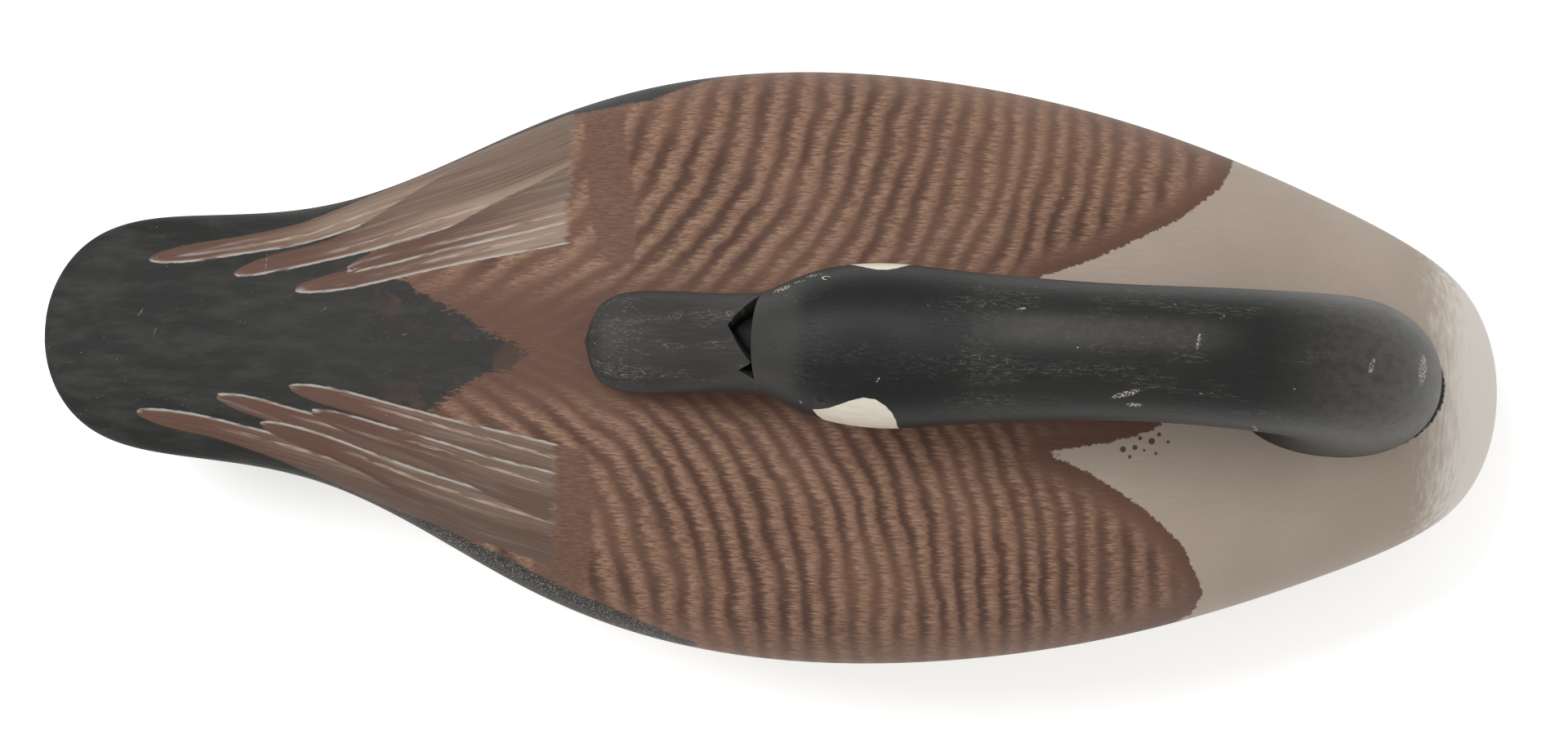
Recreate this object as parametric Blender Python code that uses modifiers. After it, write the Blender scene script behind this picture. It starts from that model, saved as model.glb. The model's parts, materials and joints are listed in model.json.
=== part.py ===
"""Sleeping goose decoy: a hollow carved body in two halves, with its neck turned back over it.

X runs from the tail (-) to the breast (+), Z is up and the floor is z = 0. Lengths are in metres.
"""

import math

import bmesh
import bpy
import numpy as np
from mathutils import Matrix, Vector

MM = 0.001

# Body, two hollowed blocks of cedar glued along a level seam
BODY_LENGTH = 640 * MM
BODY_WIDTH = 259 * MM
BACK_HEIGHT = 140 * MM
SEAM_HEIGHT = 45 * MM
WALL = 20 * MM
HULL_FLOOR = 20 * MM
BLOCK_MARGIN = 7.5 * MM  # least wood beside a hole in the solid blocks at the body's two ends
CAULK = 1.0 * MM
GAP = 0.3 * MM  # clearance wherever two pieces meet

# Shape of the body: (share of the length from the tail, share of the half width or of the height)
CREST_SHARE = 0.70
WIDTH_LINE = (
    (0, 0), (0.034, 0.328), (0.068, 0.390), (0.135, 0.424), (0.202, 0.487), (0.269, 0.630),
    (0.336, 0.797), (0.403, 0.918), (0.504, 0.998), (0.605, 0.988), (0.739, 0.873),
    (0.873, 0.649), (0.940, 0.497), (0.974, 0.370), (1, 0),
)
BACK_LINE = (
    (0, 0.560), (0.034, 0.610), (0.10, 0.655), (0.20, 0.720), (0.30, 0.802), (0.40, 0.885),
    (0.50, 0.950), (0.60, 0.990), (CREST_SHARE, 1.0), (0.79, 0.975), (0.87, 0.886), (0.94, 0.721),
    (0.975, 0.571), (1, 0.357),
)
GIRTH_LINE = (
    (0, 0.560), (0.10, 0.550), (0.20, 0.525), (0.30, 0.505), (0.50, 0.490), (0.70, 0.475),
    (0.87, 0.414), (1, 0.357),
)
BELLY_LINE = (
    (0, 0.560), (0.034, 0.525), (0.10, 0.475), (0.20, 0.335), (0.30, 0.145), (0.40, 0.014),
    (0.50, -0.030), (0.60, -0.036), (0.70, -0.030), (0.79, 0.0), (0.87, 0.060), (0.94, 0.160),
    (0.975, 0.245), (1, 0.357),
)
BACK_FULLNESS = 2.2  # exponent of the section above its widest line, 2 is an ellipse
BELLY_FULLNESS = 2.6
BODY_SECTIONS = 36
BODY_AROUND = 32
CAVITY_SECTIONS = 16
CAVITY_AROUND = 20

# Neck seat, a flat inlet in the breast block
NECK_SETBACK = 80 * MM
SEAT_DEPTH = 8 * MM
NECK_BASE_LENGTH = 106 * MM
NECK_BASE_WIDTH = 68 * MM

# Neck, head and bill along one bent line: (distance behind the seat, height above the back,
# heading in degrees from +X towards +Z, half depth, half width). The height is above the back
# straight below, or above its crest for the stations forward of the crest. The first station
# is the seat itself, and the last is the tip of the bill.
STATIONS = (
    (0, 0, 0, NECK_BASE_LENGTH / 2, NECK_BASE_WIDTH / 2),
    (2 * MM, -2 * MM, 93, NECK_BASE_LENGTH / 2 - 10 * MM, NECK_BASE_WIDTH / 2 - 1 * MM),
    (10 * MM, 21 * MM, 118, 34 * MM, 31 * MM),
    (33 * MM, 38 * MM, 150, 30 * MM, 29.5 * MM),
    (64 * MM, 47 * MM, 172, 28 * MM, 28.5 * MM),
    (100 * MM, 47.5 * MM, 184, 27.5 * MM, 28.2 * MM),
    (136 * MM, 42 * MM, 190, 28 * MM, 29.8 * MM),
    (166 * MM, 36.9 * MM, 190, 29.3 * MM, 32.2 * MM),
    (192 * MM, 32.9 * MM, 187, 30.5 * MM, 34.3 * MM),
    (216 * MM, 31.9 * MM, 189, 30 * MM, 32.2 * MM),
    (232 * MM, 29.1 * MM, 195, 26.5 * MM, 26.8 * MM),
    (243 * MM, 26.9 * MM, 198, 22.5 * MM, 22 * MM),
    (258 * MM, 22.7 * MM, 200, 17 * MM, 20.8 * MM),
    (280 * MM, 16.8 * MM, 199, 11.5 * MM, 21.6 * MM),
    (301 * MM, 12.3 * MM, 195, 8 * MM, 21.5 * MM),
    (315 * MM, 11.2 * MM, 190, 5.5 * MM, 15.5 * MM),
    (321 * MM, 11.2 * MM, 188, 0, 0),
)
NAPE_STATION = 6.6  # where the neck meets the head
BROW_STATION = 11.0  # where the head meets the bill
HEAD_FULLNESS = 2.2
NECK_AROUND = 24

# Bill: V notches across its rear edge, a round tenon and the pin that locks it
NOTCHES = ((0, 13 * MM, 14 * MM), (52, 7 * MM, 4.5 * MM), (-52, 7 * MM, 4.5 * MM))
NOTCH_DEPTH = 7 * MM
TENON_RADIUS = 7 * MM
TENON_LENGTH = 30 * MM
PIN_RADIUS = 2 * MM
PIN_LENGTH = 30 * MM

# Glass eyes in putty sockets
EYE_STATION = 9.05
EYE_ROLL = 37  # degrees above the level line through the head's centre
EYE_RADIUS = 3.6 * MM
EYE_THICKNESS = 6 * MM
EYE_SINK = 2.2 * MM
PUTTY_RADIUS = 4.8 * MM
PUTTY_DEPTH = 5.4 * MM
PUTTY_SINK = 0.8 * MM

# Dowels across the seam and in the neck, and the lag screw under the neck
SEAM_DOWEL_RADIUS = 4 * MM
SEAM_DOWEL_LENGTH = 24 * MM
SIDE_DOWELS = (-40 * MM, 110 * MM)  # along the body, one each side
BREAST_DOWEL_INSET = 46 * MM
BREAST_DOWEL_SPREAD = 76 * MM
NECK_DOWEL_RADIUS = 5 * MM
NECK_DOWEL_LENGTH = 50 * MM
NECK_DOWEL_SPACING = 54 * MM
HEAD_DOWEL_RADIUS = 6 * MM
HEAD_DOWEL_LENGTH = 50 * MM
LAG_RADIUS = 4 * MM
LAG_LENGTH = 92 * MM
LAG_HEAD_WIDTH = 13 * MM
LAG_HEAD_HEIGHT = 5.5 * MM
WASHER_RADIUS = 13 * MM
WASHER_THICKNESS = 2 * MM
COUNTERBORE_DEPTH = 22 * MM

# Lead ballast let into the flat of the hull
BALLAST_X = 10 * MM
BALLAST_SIZE = (120 * MM, 44 * MM, 7.5 * MM)
BALLAST_RECESS = 0.5 * MM
BALLAST_CORNER = 5 * MM
SCREW_INSET = (14 * MM, 11 * MM)
SCREW_RADIUS = 2 * MM
SCREW_HEAD_RADIUS = 4 * MM
SCREW_HEAD_HEIGHT = 2.6 * MM
SCREW_LENGTH = 17 * MM
SCREW_SLOT = (1.0 * MM, 1.1 * MM)

# Line tie: a staple driven into the breast's underside and the ring that hangs from it
STAPLE_SETBACK = 58 * MM
STAPLE_WIRE = 1.5 * MM
STAPLE_HALF_SPAN = 6 * MM
STAPLE_DROP = 2 * MM
STAPLE_LEG = 18 * MM
RING_RADIUS = 11 * MM
RING_WIRE = 1.5 * MM
RING_PLAY = 0.4 * MM

PAINT_BROWN = (0.16, 0.095, 0.066)
PAINT_BLACK = (0.035, 0.034, 0.031)
PAINT_PALE = (0.42, 0.37, 0.31)
WOOD = (0.50, 0.33, 0.18)
GLASS_BROWN = (0.02, 0.012, 0.008)
PUTTY = (0.06, 0.055, 0.05)
LEAD = (0.20, 0.21, 0.22)
BRASS = (0.60, 0.42, 0.16)
STEEL = (0.42, 0.42, 0.42)
CAULK_GREY = (0.45, 0.43, 0.38)


def spline(knots):
    """The natural cubic curve through (place, value) pairs, as a function of place."""
    t, v = (np.array(column, float) for column in zip(*knots))
    step = np.diff(t)
    system = np.eye(len(t))
    pull = np.zeros(len(t))
    for i in range(1, len(t) - 1):
        system[i, i - 1 : i + 2] = step[i - 1], 2 * (step[i - 1] + step[i]), step[i]
        pull[i] = 6 * ((v[i + 1] - v[i]) / step[i] - (v[i] - v[i - 1]) / step[i - 1])
    bend = np.linalg.solve(system, pull)

    def value(place):
        i = np.clip(np.searchsorted(t, place) - 1, 0, len(step) - 1)
        h, a, b = step[i], t[i + 1] - place, place - t[i]
        cubic = (bend[i] * a**3 + bend[i + 1] * b**3) / (6 * h)
        return cubic + (v[i] / h - bend[i] * h / 6) * a + (v[i + 1] / h - bend[i + 1] * h / 6) * b

    return value


def rounding(share):
    """A place that runs evenly round both blunt ends of the body, from its share of the length."""
    return np.arccos(np.clip(1 - 2 * np.asarray(share, float), -1, 1)) / math.pi


def body_line(knots, scale):
    """A body line in metres, as a function of x."""
    curve = spline([(float(rounding(share)), value * scale) for share, value in knots])
    return lambda x: curve(rounding(x / BODY_LENGTH + 0.5))


half_width = body_line(WIDTH_LINE, BODY_WIDTH / 2)
back = body_line(BACK_LINE, BACK_HEIGHT)
girth = body_line(GIRTH_LINE, BACK_HEIGHT)
belly = body_line(BELLY_LINE, BACK_HEIGHT)


def power(value, exponent):
    return np.sign(value) * np.abs(value) ** exponent


def oval(around, upper, lower):
    """(across, up) of a section round its centre, from -1 to 1, fuller as the exponents grow."""
    angle = np.arange(around) * 2 * math.pi / around
    fullness = np.where(np.sin(angle) >= 0, upper, lower)
    return power(np.cos(angle), 2 / fullness), power(np.sin(angle), 2 / fullness)


def crossing(line, level, low, high):
    """The x between low and high where a body line passes a level, by halving."""
    rising = line(high) > line(low)
    for _ in range(40):
        middle = (low + high) / 2
        if (line(middle) > level) == rising:
            high = middle
        else:
            low = middle
    return (low + high) / 2


def new_object(name, mesh, colour, rough=0.6, metal=0.0):
    """An object in the decoy's collection, with a material of its own."""
    obj = bpy.data.objects.new(name, mesh)
    decoy.objects.link(obj)
    material = bpy.data.materials.new(name)
    material.use_nodes = True
    shader = material.node_tree.nodes["Principled BSDF"]
    shader.inputs["Base Color"].default_value = (*colour, 1)
    shader.inputs["Roughness"].default_value = rough
    shader.inputs["Metallic"].default_value = metal
    mesh.materials.append(material)
    return obj


def new_cutter(name, mesh):
    obj = bpy.data.objects.new(name, mesh)
    cutters.objects.link(obj)
    obj.hide_render = True
    obj.display_type = "WIRE"
    return obj


def mesh_from(name, bm, smooth=True):
    bmesh.ops.recalc_face_normals(bm, faces=bm.faces)
    mesh = bpy.data.meshes.new(name)
    bm.to_mesh(mesh)
    bm.free()
    if smooth:
        mesh.shade_smooth()
        mesh.set_sharp_from_angle(angle=math.radians(35))
    return mesh


def loft(name, rings, start=None, end=None):
    """A skin over rings of points, closed at each end by a flat face or by a point."""
    bm = bmesh.new()
    rows = [[bm.verts.new(point) for point in ring] for ring in rings]
    around = len(rows[0])
    for first, second in zip(rows, rows[1:]):
        for i in range(around):
            j = (i + 1) % around
            bm.faces.new((first[i], first[j], second[j], second[i]))
    for row, tip in ((rows[0], start), (rows[-1], end)):
        if tip is None:
            bm.faces.new(row)
            continue
        pole = bm.verts.new(tip)
        for i in range(around):
            bm.faces.new((row[i], row[(i + 1) % around], pole))
    # a bent four-sided face has no plane of its own for a cutter to meet
    bmesh.ops.triangulate(bm, faces=[face for face in bm.faces if len(face.verts) == 4])
    return mesh_from(name, bm)


def box(name, size, centre):
    bm = bmesh.new()
    bmesh.ops.create_cube(bm, size=1, matrix=Matrix.Translation(centre) @ Matrix.Diagonal((*size, 1)))
    return mesh_from(name, bm, smooth=False)


def rod(name, radius, start, end, sides=20, end_radius=None):
    """A cylinder, or a cone, from one point to another."""
    start, end = Vector(start), Vector(end)
    turn = (end - start).to_track_quat("Z", "Y").to_matrix().to_4x4()
    bm = bmesh.new()
    bmesh.ops.create_cone(
        bm, cap_ends=True, segments=sides, radius1=radius,
        radius2=radius if end_radius is None else end_radius, depth=(end - start).length,
        matrix=Matrix.Translation((start + end) / 2) @ turn,
    )
    return mesh_from(name, bm)


def combine(obj, other, operation="DIFFERENCE"):
    modifier = obj.modifiers.new(other.name, "BOOLEAN")
    modifier.operation = operation
    modifier.object = other
    modifier.solver = "EXACT"


def drill(obj, name, radius, start, end, sides=20):
    combine(obj, new_cutter(name, rod(name, radius, start, end, sides)))


def body_mesh(name):
    """The whole outside of the body. The belly is planed off flat where it would pass the floor."""
    across, up = oval(BODY_AROUND, BACK_FULLNESS, BELLY_FULLNESS)
    rings = []
    for place in np.arange(1, BODY_SECTIONS) / BODY_SECTIONS:
        x = -math.cos(place * math.pi) * BODY_LENGTH / 2
        rise = np.where(up >= 0, back(x) - girth(x), girth(x) - belly(x))
        z = np.maximum(girth(x) + up * rise, 0)
        rings.append(np.column_stack([np.full_like(z, x), across * half_width(x), z]))
    tail_tip = (-BODY_LENGTH / 2, 0, girth(-BODY_LENGTH / 2))
    breast_tip = (BODY_LENGTH / 2, 0, girth(BODY_LENGTH / 2))
    return loft(name, rings, tail_tip, breast_tip)


SEAM_TAIL = crossing(belly, SEAM_HEIGHT, -BODY_LENGTH / 2, 0)
SEAM_BREAST = crossing(belly, SEAM_HEIGHT, 0, BODY_LENGTH / 2)
DOWEL_FOOT = SEAM_HEIGHT - SEAM_DOWEL_LENGTH / 2

# the tail's dowel stands where the hull is deep enough for it, and the hollow starts beyond it
TAIL_DOWEL_X = crossing(belly, DOWEL_FOOT - BLOCK_MARGIN, -BODY_LENGTH / 2, 0)
CAVITY_TAIL = TAIL_DOWEL_X + SEAM_DOWEL_RADIUS + BLOCK_MARGIN

# the hollow stops short of the neck, so that the whole seat is on solid wood
SEAT_X = BODY_LENGTH / 2 - NECK_SETBACK
SEAT_RUN = NECK_BASE_LENGTH / 2
CAVITY_BREAST = SEAT_X - SEAT_RUN - BLOCK_MARGIN


def low_half_width(x, z):
    """Half the body's width at a height z below its widest line."""
    drop = (girth(x) - z) / (girth(x) - belly(x))
    return half_width(x) * (1 - np.clip(drop, 0, 1) ** BELLY_FULLNESS) ** (1 / BELLY_FULLNESS)


def cavity_section(x):
    """(half width, rise, fall) of the hollow from the middle of the seam."""
    share = (x - CAVITY_TAIL) / (CAVITY_BREAST - CAVITY_TAIL)
    swell = (4 * share * (1 - share)) ** 0.3
    fall = SEAM_HEIGHT - max(belly(x), 0) - HULL_FLOOR
    return [swell * size for size in
            (low_half_width(x, SEAM_HEIGHT) - WALL, back(x) - WALL - SEAM_HEIGHT, fall)]


def cavity_mesh(name):
    across, up = oval(CAVITY_AROUND, BACK_FULLNESS, BELLY_FULLNESS)
    rings = []
    for turn in np.arange(1, CAVITY_SECTIONS) * math.pi / CAVITY_SECTIONS:
        x = CAVITY_TAIL + (CAVITY_BREAST - CAVITY_TAIL) * (1 - math.cos(turn)) / 2
        reach, rise, fall = cavity_section(x)
        z = SEAM_HEIGHT + up * np.where(up >= 0, rise, fall)
        rings.append(np.column_stack([np.full_like(z, x), across * reach, z]))
    ends = [(x, 0, SEAM_HEIGHT) for x in (CAVITY_TAIL, CAVITY_BREAST)]
    return loft(name, rings, *ends)


def seam_dowel_places():
    """(x, y) of each dowel: one in the tail block, and pairs in the side walls and the breast."""
    pairs = [(x, (cavity_section(x)[0] + low_half_width(x, DOWEL_FOOT)) / 2) for x in SIDE_DOWELS]
    pairs.append((SEAM_BREAST - BREAST_DOWEL_INSET, BREAST_DOWEL_SPREAD / 2))
    places = [(TAIL_DOWEL_X, 0)]
    for x, reach in pairs:
        places += [(x, -reach), (x, reach)]
    return places


def flat_plate(name, outlines, thickness, height):
    """A level plate from closed outlines: the first is its edge and the rest are holes."""
    curve = bpy.data.curves.new(name, "CURVE")
    curve.dimensions = "2D"
    curve.fill_mode = "BOTH"
    curve.extrude = thickness / 2
    for outline in outlines:
        line = curve.splines.new("POLY")
        line.points.add(len(outline) - 1)
        for point, (x, y) in zip(line.points, outline):
            point.co = (x, y, 0, 1)
        line.use_cyclic_u = True
    obj = new_object(name, curve, CAULK_GREY, rough=0.8)
    obj.location.z = height
    return obj


def circle(centre, radius, sides):
    angles = [i * 2 * math.pi / sides for i in range(sides)]
    return [(centre[0] + radius * math.cos(a), centre[1] + radius * math.sin(a)) for a in angles]


def make_caulk():
    """The layer of caulk in the seam, cut out over the hollow, the dowels and the lag screw."""
    sides = 44
    edge, hollow = [], []
    for i in range(sides):
        turn = i * 2 * math.pi / sides
        share, side = (1 - math.cos(turn)) / 2, math.sin(turn)
        x = SEAM_TAIL + (SEAM_BREAST - SEAM_TAIL) * share
        edge.append((x, math.copysign(low_half_width(x, SEAM_HEIGHT), side)))
        x = CAVITY_TAIL + (CAVITY_BREAST - CAVITY_TAIL) * share
        hollow.append((x, math.copysign(cavity_section(x)[0], side)))
    holes = [circle(place, SEAM_DOWEL_RADIUS + GAP, 12) for place in seam_dowel_places()]
    holes.append(circle((LAG_X, 0), WASHER_RADIUS + GAP, 20))
    flat_plate("seam_caulk", [edge, hollow, *holes], CAULK, SEAM_HEIGHT)


def make_shells():
    """The two hollowed halves, each cut from the whole body at the caulk's two faces."""
    room = BODY_LENGTH * 1.1
    shells = []
    for name, side, colour in (("back_shell", -1, PAINT_BROWN), ("hull_shell", 1, PAINT_PALE)):
        shell = new_object(name, body_mesh(name), colour, rough=0.55)
        face = SEAM_HEIGHT - side * (CAULK / 2 + GAP)
        other_half = box(f"{name}_cut", (room, room, room), (0, 0, face + side * room / 2))
        combine(shell, new_cutter(f"{name}_cut", other_half))
        combine(shell, new_cutter(f"{name}_hollow", cavity_mesh(f"{name}_hollow")))
        for n, (x, y) in enumerate(seam_dowel_places(), 1):
            reach = SEAM_DOWEL_LENGTH / 2 + GAP
            drill(shell, f"{name}_dowel_hole_{n}", SEAM_DOWEL_RADIUS + GAP,
                  (x, y, SEAM_HEIGHT - reach), (x, y, SEAM_HEIGHT + reach), 12)
        shells.append(shell)
    return shells


def make_seam_dowels():
    for n, (x, y) in enumerate(seam_dowel_places(), 1):
        ends = [(x, y, SEAM_HEIGHT + side * SEAM_DOWEL_LENGTH / 2) for side in (-1, 1)]
        mesh = rod(f"seam_dowel_{n}", SEAM_DOWEL_RADIUS, *ends, 12)
        new_object(f"seam_dowel_{n}", mesh, WOOD)


LAG_X = SEAT_X
SEAT_SLOPE = math.atan2(back(SEAT_X - SEAT_RUN) - back(SEAT_X + SEAT_RUN), 2 * SEAT_RUN)
SEAT_NORMAL = Vector((math.sin(SEAT_SLOPE), 0, math.cos(SEAT_SLOPE)))
SEAT_ALONG = Vector((math.cos(SEAT_SLOPE), 0, -math.sin(SEAT_SLOPE)))
SEAT_CENTRE = Vector((SEAT_X, 0, back(SEAT_X))) - SEAT_NORMAL * SEAT_DEPTH


def station_curves():
    """The five columns of STATIONS as functions of the station's number."""
    foot = SEAT_CENTRE + SEAT_NORMAL * GAP
    heading = 90 - math.degrees(SEAT_SLOPE)
    rows = [(foot.x, foot.z, heading, *STATIONS[0][3:])]
    crest_x = (CREST_SHARE - 0.5) * BODY_LENGTH
    for back_by, above, turn, depth, width in STATIONS[1:]:
        x = SEAT_X - back_by
        rows.append((x, back(min(x, crest_x)) + above, turn, depth, width))
    return [spline(list(enumerate(column))) for column in zip(*rows)]


neck_x, neck_z, neck_heading, neck_depth, neck_width = station_curves()


def neck_frame(station):
    """(centre, along, outward) of the bent line at a station. Across it is always +Y."""
    turn = math.radians(neck_heading(station))
    centre = Vector((neck_x(station), 0, neck_z(station)))
    return centre, Vector((math.cos(turn), 0, math.sin(turn))), Vector((math.sin(turn), 0, -math.cos(turn)))


def neck_ring(station, shift=0.0):
    """The section at a station, moved along the line by shift."""
    centre, along, outward = neck_frame(station)
    across, up = oval(NECK_AROUND, HEAD_FULLNESS, HEAD_FULLNESS)
    points = np.outer(up * neck_depth(station), outward)
    points[:, 1] += across * neck_width(station)
    return points + np.array(centre + along * shift)


def neck_point(station, roll):
    """(point, outward normal) of the surface, roll degrees up from the +Y side."""
    centre, _, outward = neck_frame(station)
    depth, width, turn = neck_depth(station), neck_width(station), math.radians(roll)
    side, rise = (power(f(turn), 2 / HEAD_FULLNESS) for f in (math.cos, math.sin))
    normal = outward * float(power(rise, HEAD_FULLNESS - 1) / depth)
    normal.y = float(power(side, HEAD_FULLNESS - 1) / width)
    return centre + outward * float(rise * depth) + Vector((0, side * width, 0)), normal.normalized()


def make_neck(back_shell):
    """The neck from its flat seat to the nape, the seat's inlet, and the pieces that hold it."""
    stations = np.linspace(0, NAPE_STATION, 17)
    rings = [neck_ring(s) for s in stations[:-1]] + [neck_ring(NAPE_STATION, -GAP / 2)]
    neck = new_object("neck", loft("neck", rings), PAINT_BLACK, rough=0.5)

    across, along = oval(NECK_AROUND, HEAD_FULLNESS, HEAD_FULLNESS)
    inlet = []
    for rise in (0, SEAT_DEPTH * 5):
        points = np.outer(along * (NECK_BASE_LENGTH / 2 + GAP), SEAT_ALONG)
        points[:, 1] += across * (NECK_BASE_WIDTH / 2 + GAP)
        inlet.append(points + np.array(SEAT_CENTRE + SEAT_NORMAL * rise))
    combine(back_shell, new_cutter("neck_seat_inlet", loft("neck_seat_inlet", inlet)))

    reach = SEAT_NORMAL * (NECK_DOWEL_LENGTH / 2)
    for name, side in (("neck_dowel_front", 1), ("neck_dowel_rear", -1)):
        middle = SEAT_CENTRE + SEAT_ALONG * (side * NECK_DOWEL_SPACING / 2)
        new_object(name, rod(name, NECK_DOWEL_RADIUS, middle - reach, middle + reach, 14), WOOD)
        for obj in (neck, back_shell):
            extra = SEAT_NORMAL * GAP
            drill(obj, f"{name}_hole_{obj.name}", NECK_DOWEL_RADIUS + GAP,
                  middle - reach - extra, middle + reach + extra, 14)
    make_lag_screw(neck, back_shell)
    return neck


def make_lag_screw(neck, back_shell):
    """A hex lag screw driven up through the breast block into the neck, over a washer."""
    seam_face = SEAM_HEIGHT + CAULK / 2 + GAP
    ceiling = seam_face + COUNTERBORE_DEPTH
    washer_top = ceiling - GAP
    head_top = washer_top - WASHER_THICKNESS - GAP
    point = head_top + LAG_LENGTH
    drill(back_shell, "lag_counterbore", WASHER_RADIUS + GAP,
          (LAG_X, 0, SEAM_HEIGHT - CAULK), (LAG_X, 0, ceiling), 24)
    for obj in (neck, back_shell):
        drill(obj, f"lag_hole_{obj.name}", LAG_RADIUS + GAP,
              (LAG_X, 0, ceiling - CAULK), (LAG_X, 0, point + GAP), 14)
    washer = new_object(
        "neck_washer",
        rod("neck_washer", WASHER_RADIUS, (LAG_X, 0, washer_top - WASHER_THICKNESS),
            (LAG_X, 0, washer_top), 24),
        STEEL, rough=0.4, metal=1.0)
    drill(washer, "washer_hole", LAG_RADIUS + GAP,
          (LAG_X, 0, washer_top - 2 * WASHER_THICKNESS), (LAG_X, 0, ceiling + WASHER_THICKNESS), 14)
    head = rod("neck_lag_screw", LAG_HEAD_WIDTH / math.sqrt(3),
               (LAG_X, 0, head_top - LAG_HEAD_HEIGHT), (LAG_X, 0, head_top), 6)
    screw = new_object("neck_lag_screw", head, STEEL, rough=0.35, metal=1.0)
    taper = LAG_RADIUS * 2.5
    shank = rod("lag_shank", LAG_RADIUS, (LAG_X, 0, head_top - LAG_HEAD_HEIGHT / 2),
                (LAG_X, 0, point - taper), 14)
    tip = rod("lag_tip", LAG_RADIUS, (LAG_X, 0, point - taper - CAULK), (LAG_X, 0, point), 14,
              end_radius=LAG_RADIUS * 0.15)
    for mesh in (shank, tip):
        combine(screw, new_cutter(mesh.name, mesh), "UNION")


def make_head(neck):
    """The head from the nape to the brow, and the dowel that joins it to the neck."""
    stations = np.linspace(NAPE_STATION, BROW_STATION, 13)
    rings = [neck_ring(NAPE_STATION, GAP / 2)]
    rings += [neck_ring(s) for s in stations[1:-1]] + [neck_ring(BROW_STATION, -GAP / 2)]
    head = new_object("head", loft("head", rings), PAINT_BLACK, rough=0.5)
    centre, along, _ = neck_frame(NAPE_STATION)
    reach = along * (HEAD_DOWEL_LENGTH / 2)
    mesh = rod("head_dowel", HEAD_DOWEL_RADIUS, centre - reach, centre + reach, 16)
    new_object("head_dowel", mesh, WOOD)
    for obj in (neck, head):
        drill(obj, f"head_dowel_hole_{obj.name}", HEAD_DOWEL_RADIUS + GAP,
              centre - reach - along * GAP, centre + reach + along * GAP, 16)
    return head


def notch_mesh(name, roll, length, half_span):
    """A wedge over the bill's rear edge, its point towards the bill's tip, turned by roll."""
    centre, along, outward = neck_frame(BROW_STATION)
    turn = Matrix.Rotation(math.radians(roll), 3, along)
    up, side = turn @ outward, turn @ Vector((0, 1, 0))
    turned = math.radians(roll)
    surface = math.hypot(neck_depth(BROW_STATION) * math.cos(turned), neck_width(BROW_STATION) * math.sin(turned))
    rings = []
    for rise in (surface - NOTCH_DEPTH, surface + NOTCH_DEPTH):
        base = centre + up * rise
        behind = base - along * NOTCH_DEPTH
        wide = half_span * (1 + NOTCH_DEPTH / length)
        rings.append([behind - side * wide, behind + side * wide, base + along * length])
    return loft(name, rings)


def make_bill(head):
    """The bill with its tenon, its notched rear edge and the pin through the tenon."""
    tip_station = len(STATIONS) - 1
    stations = np.linspace(BROW_STATION, tip_station, 12)
    rings = [neck_ring(BROW_STATION, GAP / 2)] + [neck_ring(s) for s in stations[1:-1]]
    tip, _, _ = neck_frame(tip_station)
    bill = new_object("bill", loft("bill", rings, end=tip), PAINT_BLACK, rough=0.5)
    for n, (roll, length, half_span) in enumerate(NOTCHES, 1):
        combine(bill, new_cutter(f"notch_{n}", notch_mesh(f"notch_{n}", roll, length, half_span)))
    centre, along, outward = neck_frame(BROW_STATION)
    into_head = centre - along * TENON_LENGTH
    tenon = rod("tenon", TENON_RADIUS, into_head, centre + along * TENON_RADIUS, 16)
    combine(bill, new_cutter("tenon", tenon), "UNION")
    drill(head, "mortise", TENON_RADIUS + GAP, into_head - along * GAP, centre + along * TENON_RADIUS, 16)

    middle = centre - along * (TENON_LENGTH * 0.6)
    pin_top = middle + outward * (TENON_RADIUS + PIN_RADIUS)
    pin_foot = pin_top - outward * PIN_LENGTH
    new_object("bill_pin", rod("bill_pin", PIN_RADIUS, pin_foot, pin_top, 10), WOOD)
    for obj in (head, bill):
        drill(obj, f"pin_hole_{obj.name}", PIN_RADIUS + GAP,
              pin_foot - outward * PIN_LENGTH, pin_top + outward * GAP, 10)


def eye_mesh(name, centre, normal, grow=0.0):
    """A glass eye: a sphere flattened along the way that it looks."""
    turn = normal.to_track_quat("Z", "Y").to_matrix().to_4x4()
    radius, half = EYE_RADIUS + grow, EYE_THICKNESS / 2 + grow
    bm = bmesh.new()
    bmesh.ops.create_uvsphere(
        bm, u_segments=18, v_segments=10, radius=1,
        matrix=Matrix.Translation(centre) @ turn @ Matrix.Diagonal((radius, radius, half, 1)),
    )
    return mesh_from(name, bm)


def make_eyes(head):
    for side, roll in (("left", EYE_ROLL), ("right", 180 - EYE_ROLL)):
        surface, normal = neck_point(EYE_STATION, roll)
        centre = surface - normal * EYE_SINK
        bottom = surface - normal * (PUTTY_SINK + PUTTY_DEPTH)
        new_object(f"eye_{side}", eye_mesh(f"eye_{side}", centre, normal), GLASS_BROWN, rough=0.05)
        putty = rod(f"eye_putty_{side}", PUTTY_RADIUS, bottom, surface - normal * PUTTY_SINK, 20)
        putty = new_object(f"eye_putty_{side}", putty, PUTTY, rough=0.7)
        bed = eye_mesh(f"eye_bed_{side}", centre, normal, GAP)
        combine(putty, new_cutter(f"eye_bed_{side}", bed))
        drill(head, f"eye_socket_{side}", PUTTY_RADIUS + GAP, bottom - normal * GAP,
              surface + normal * PUTTY_DEPTH, 20)


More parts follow.
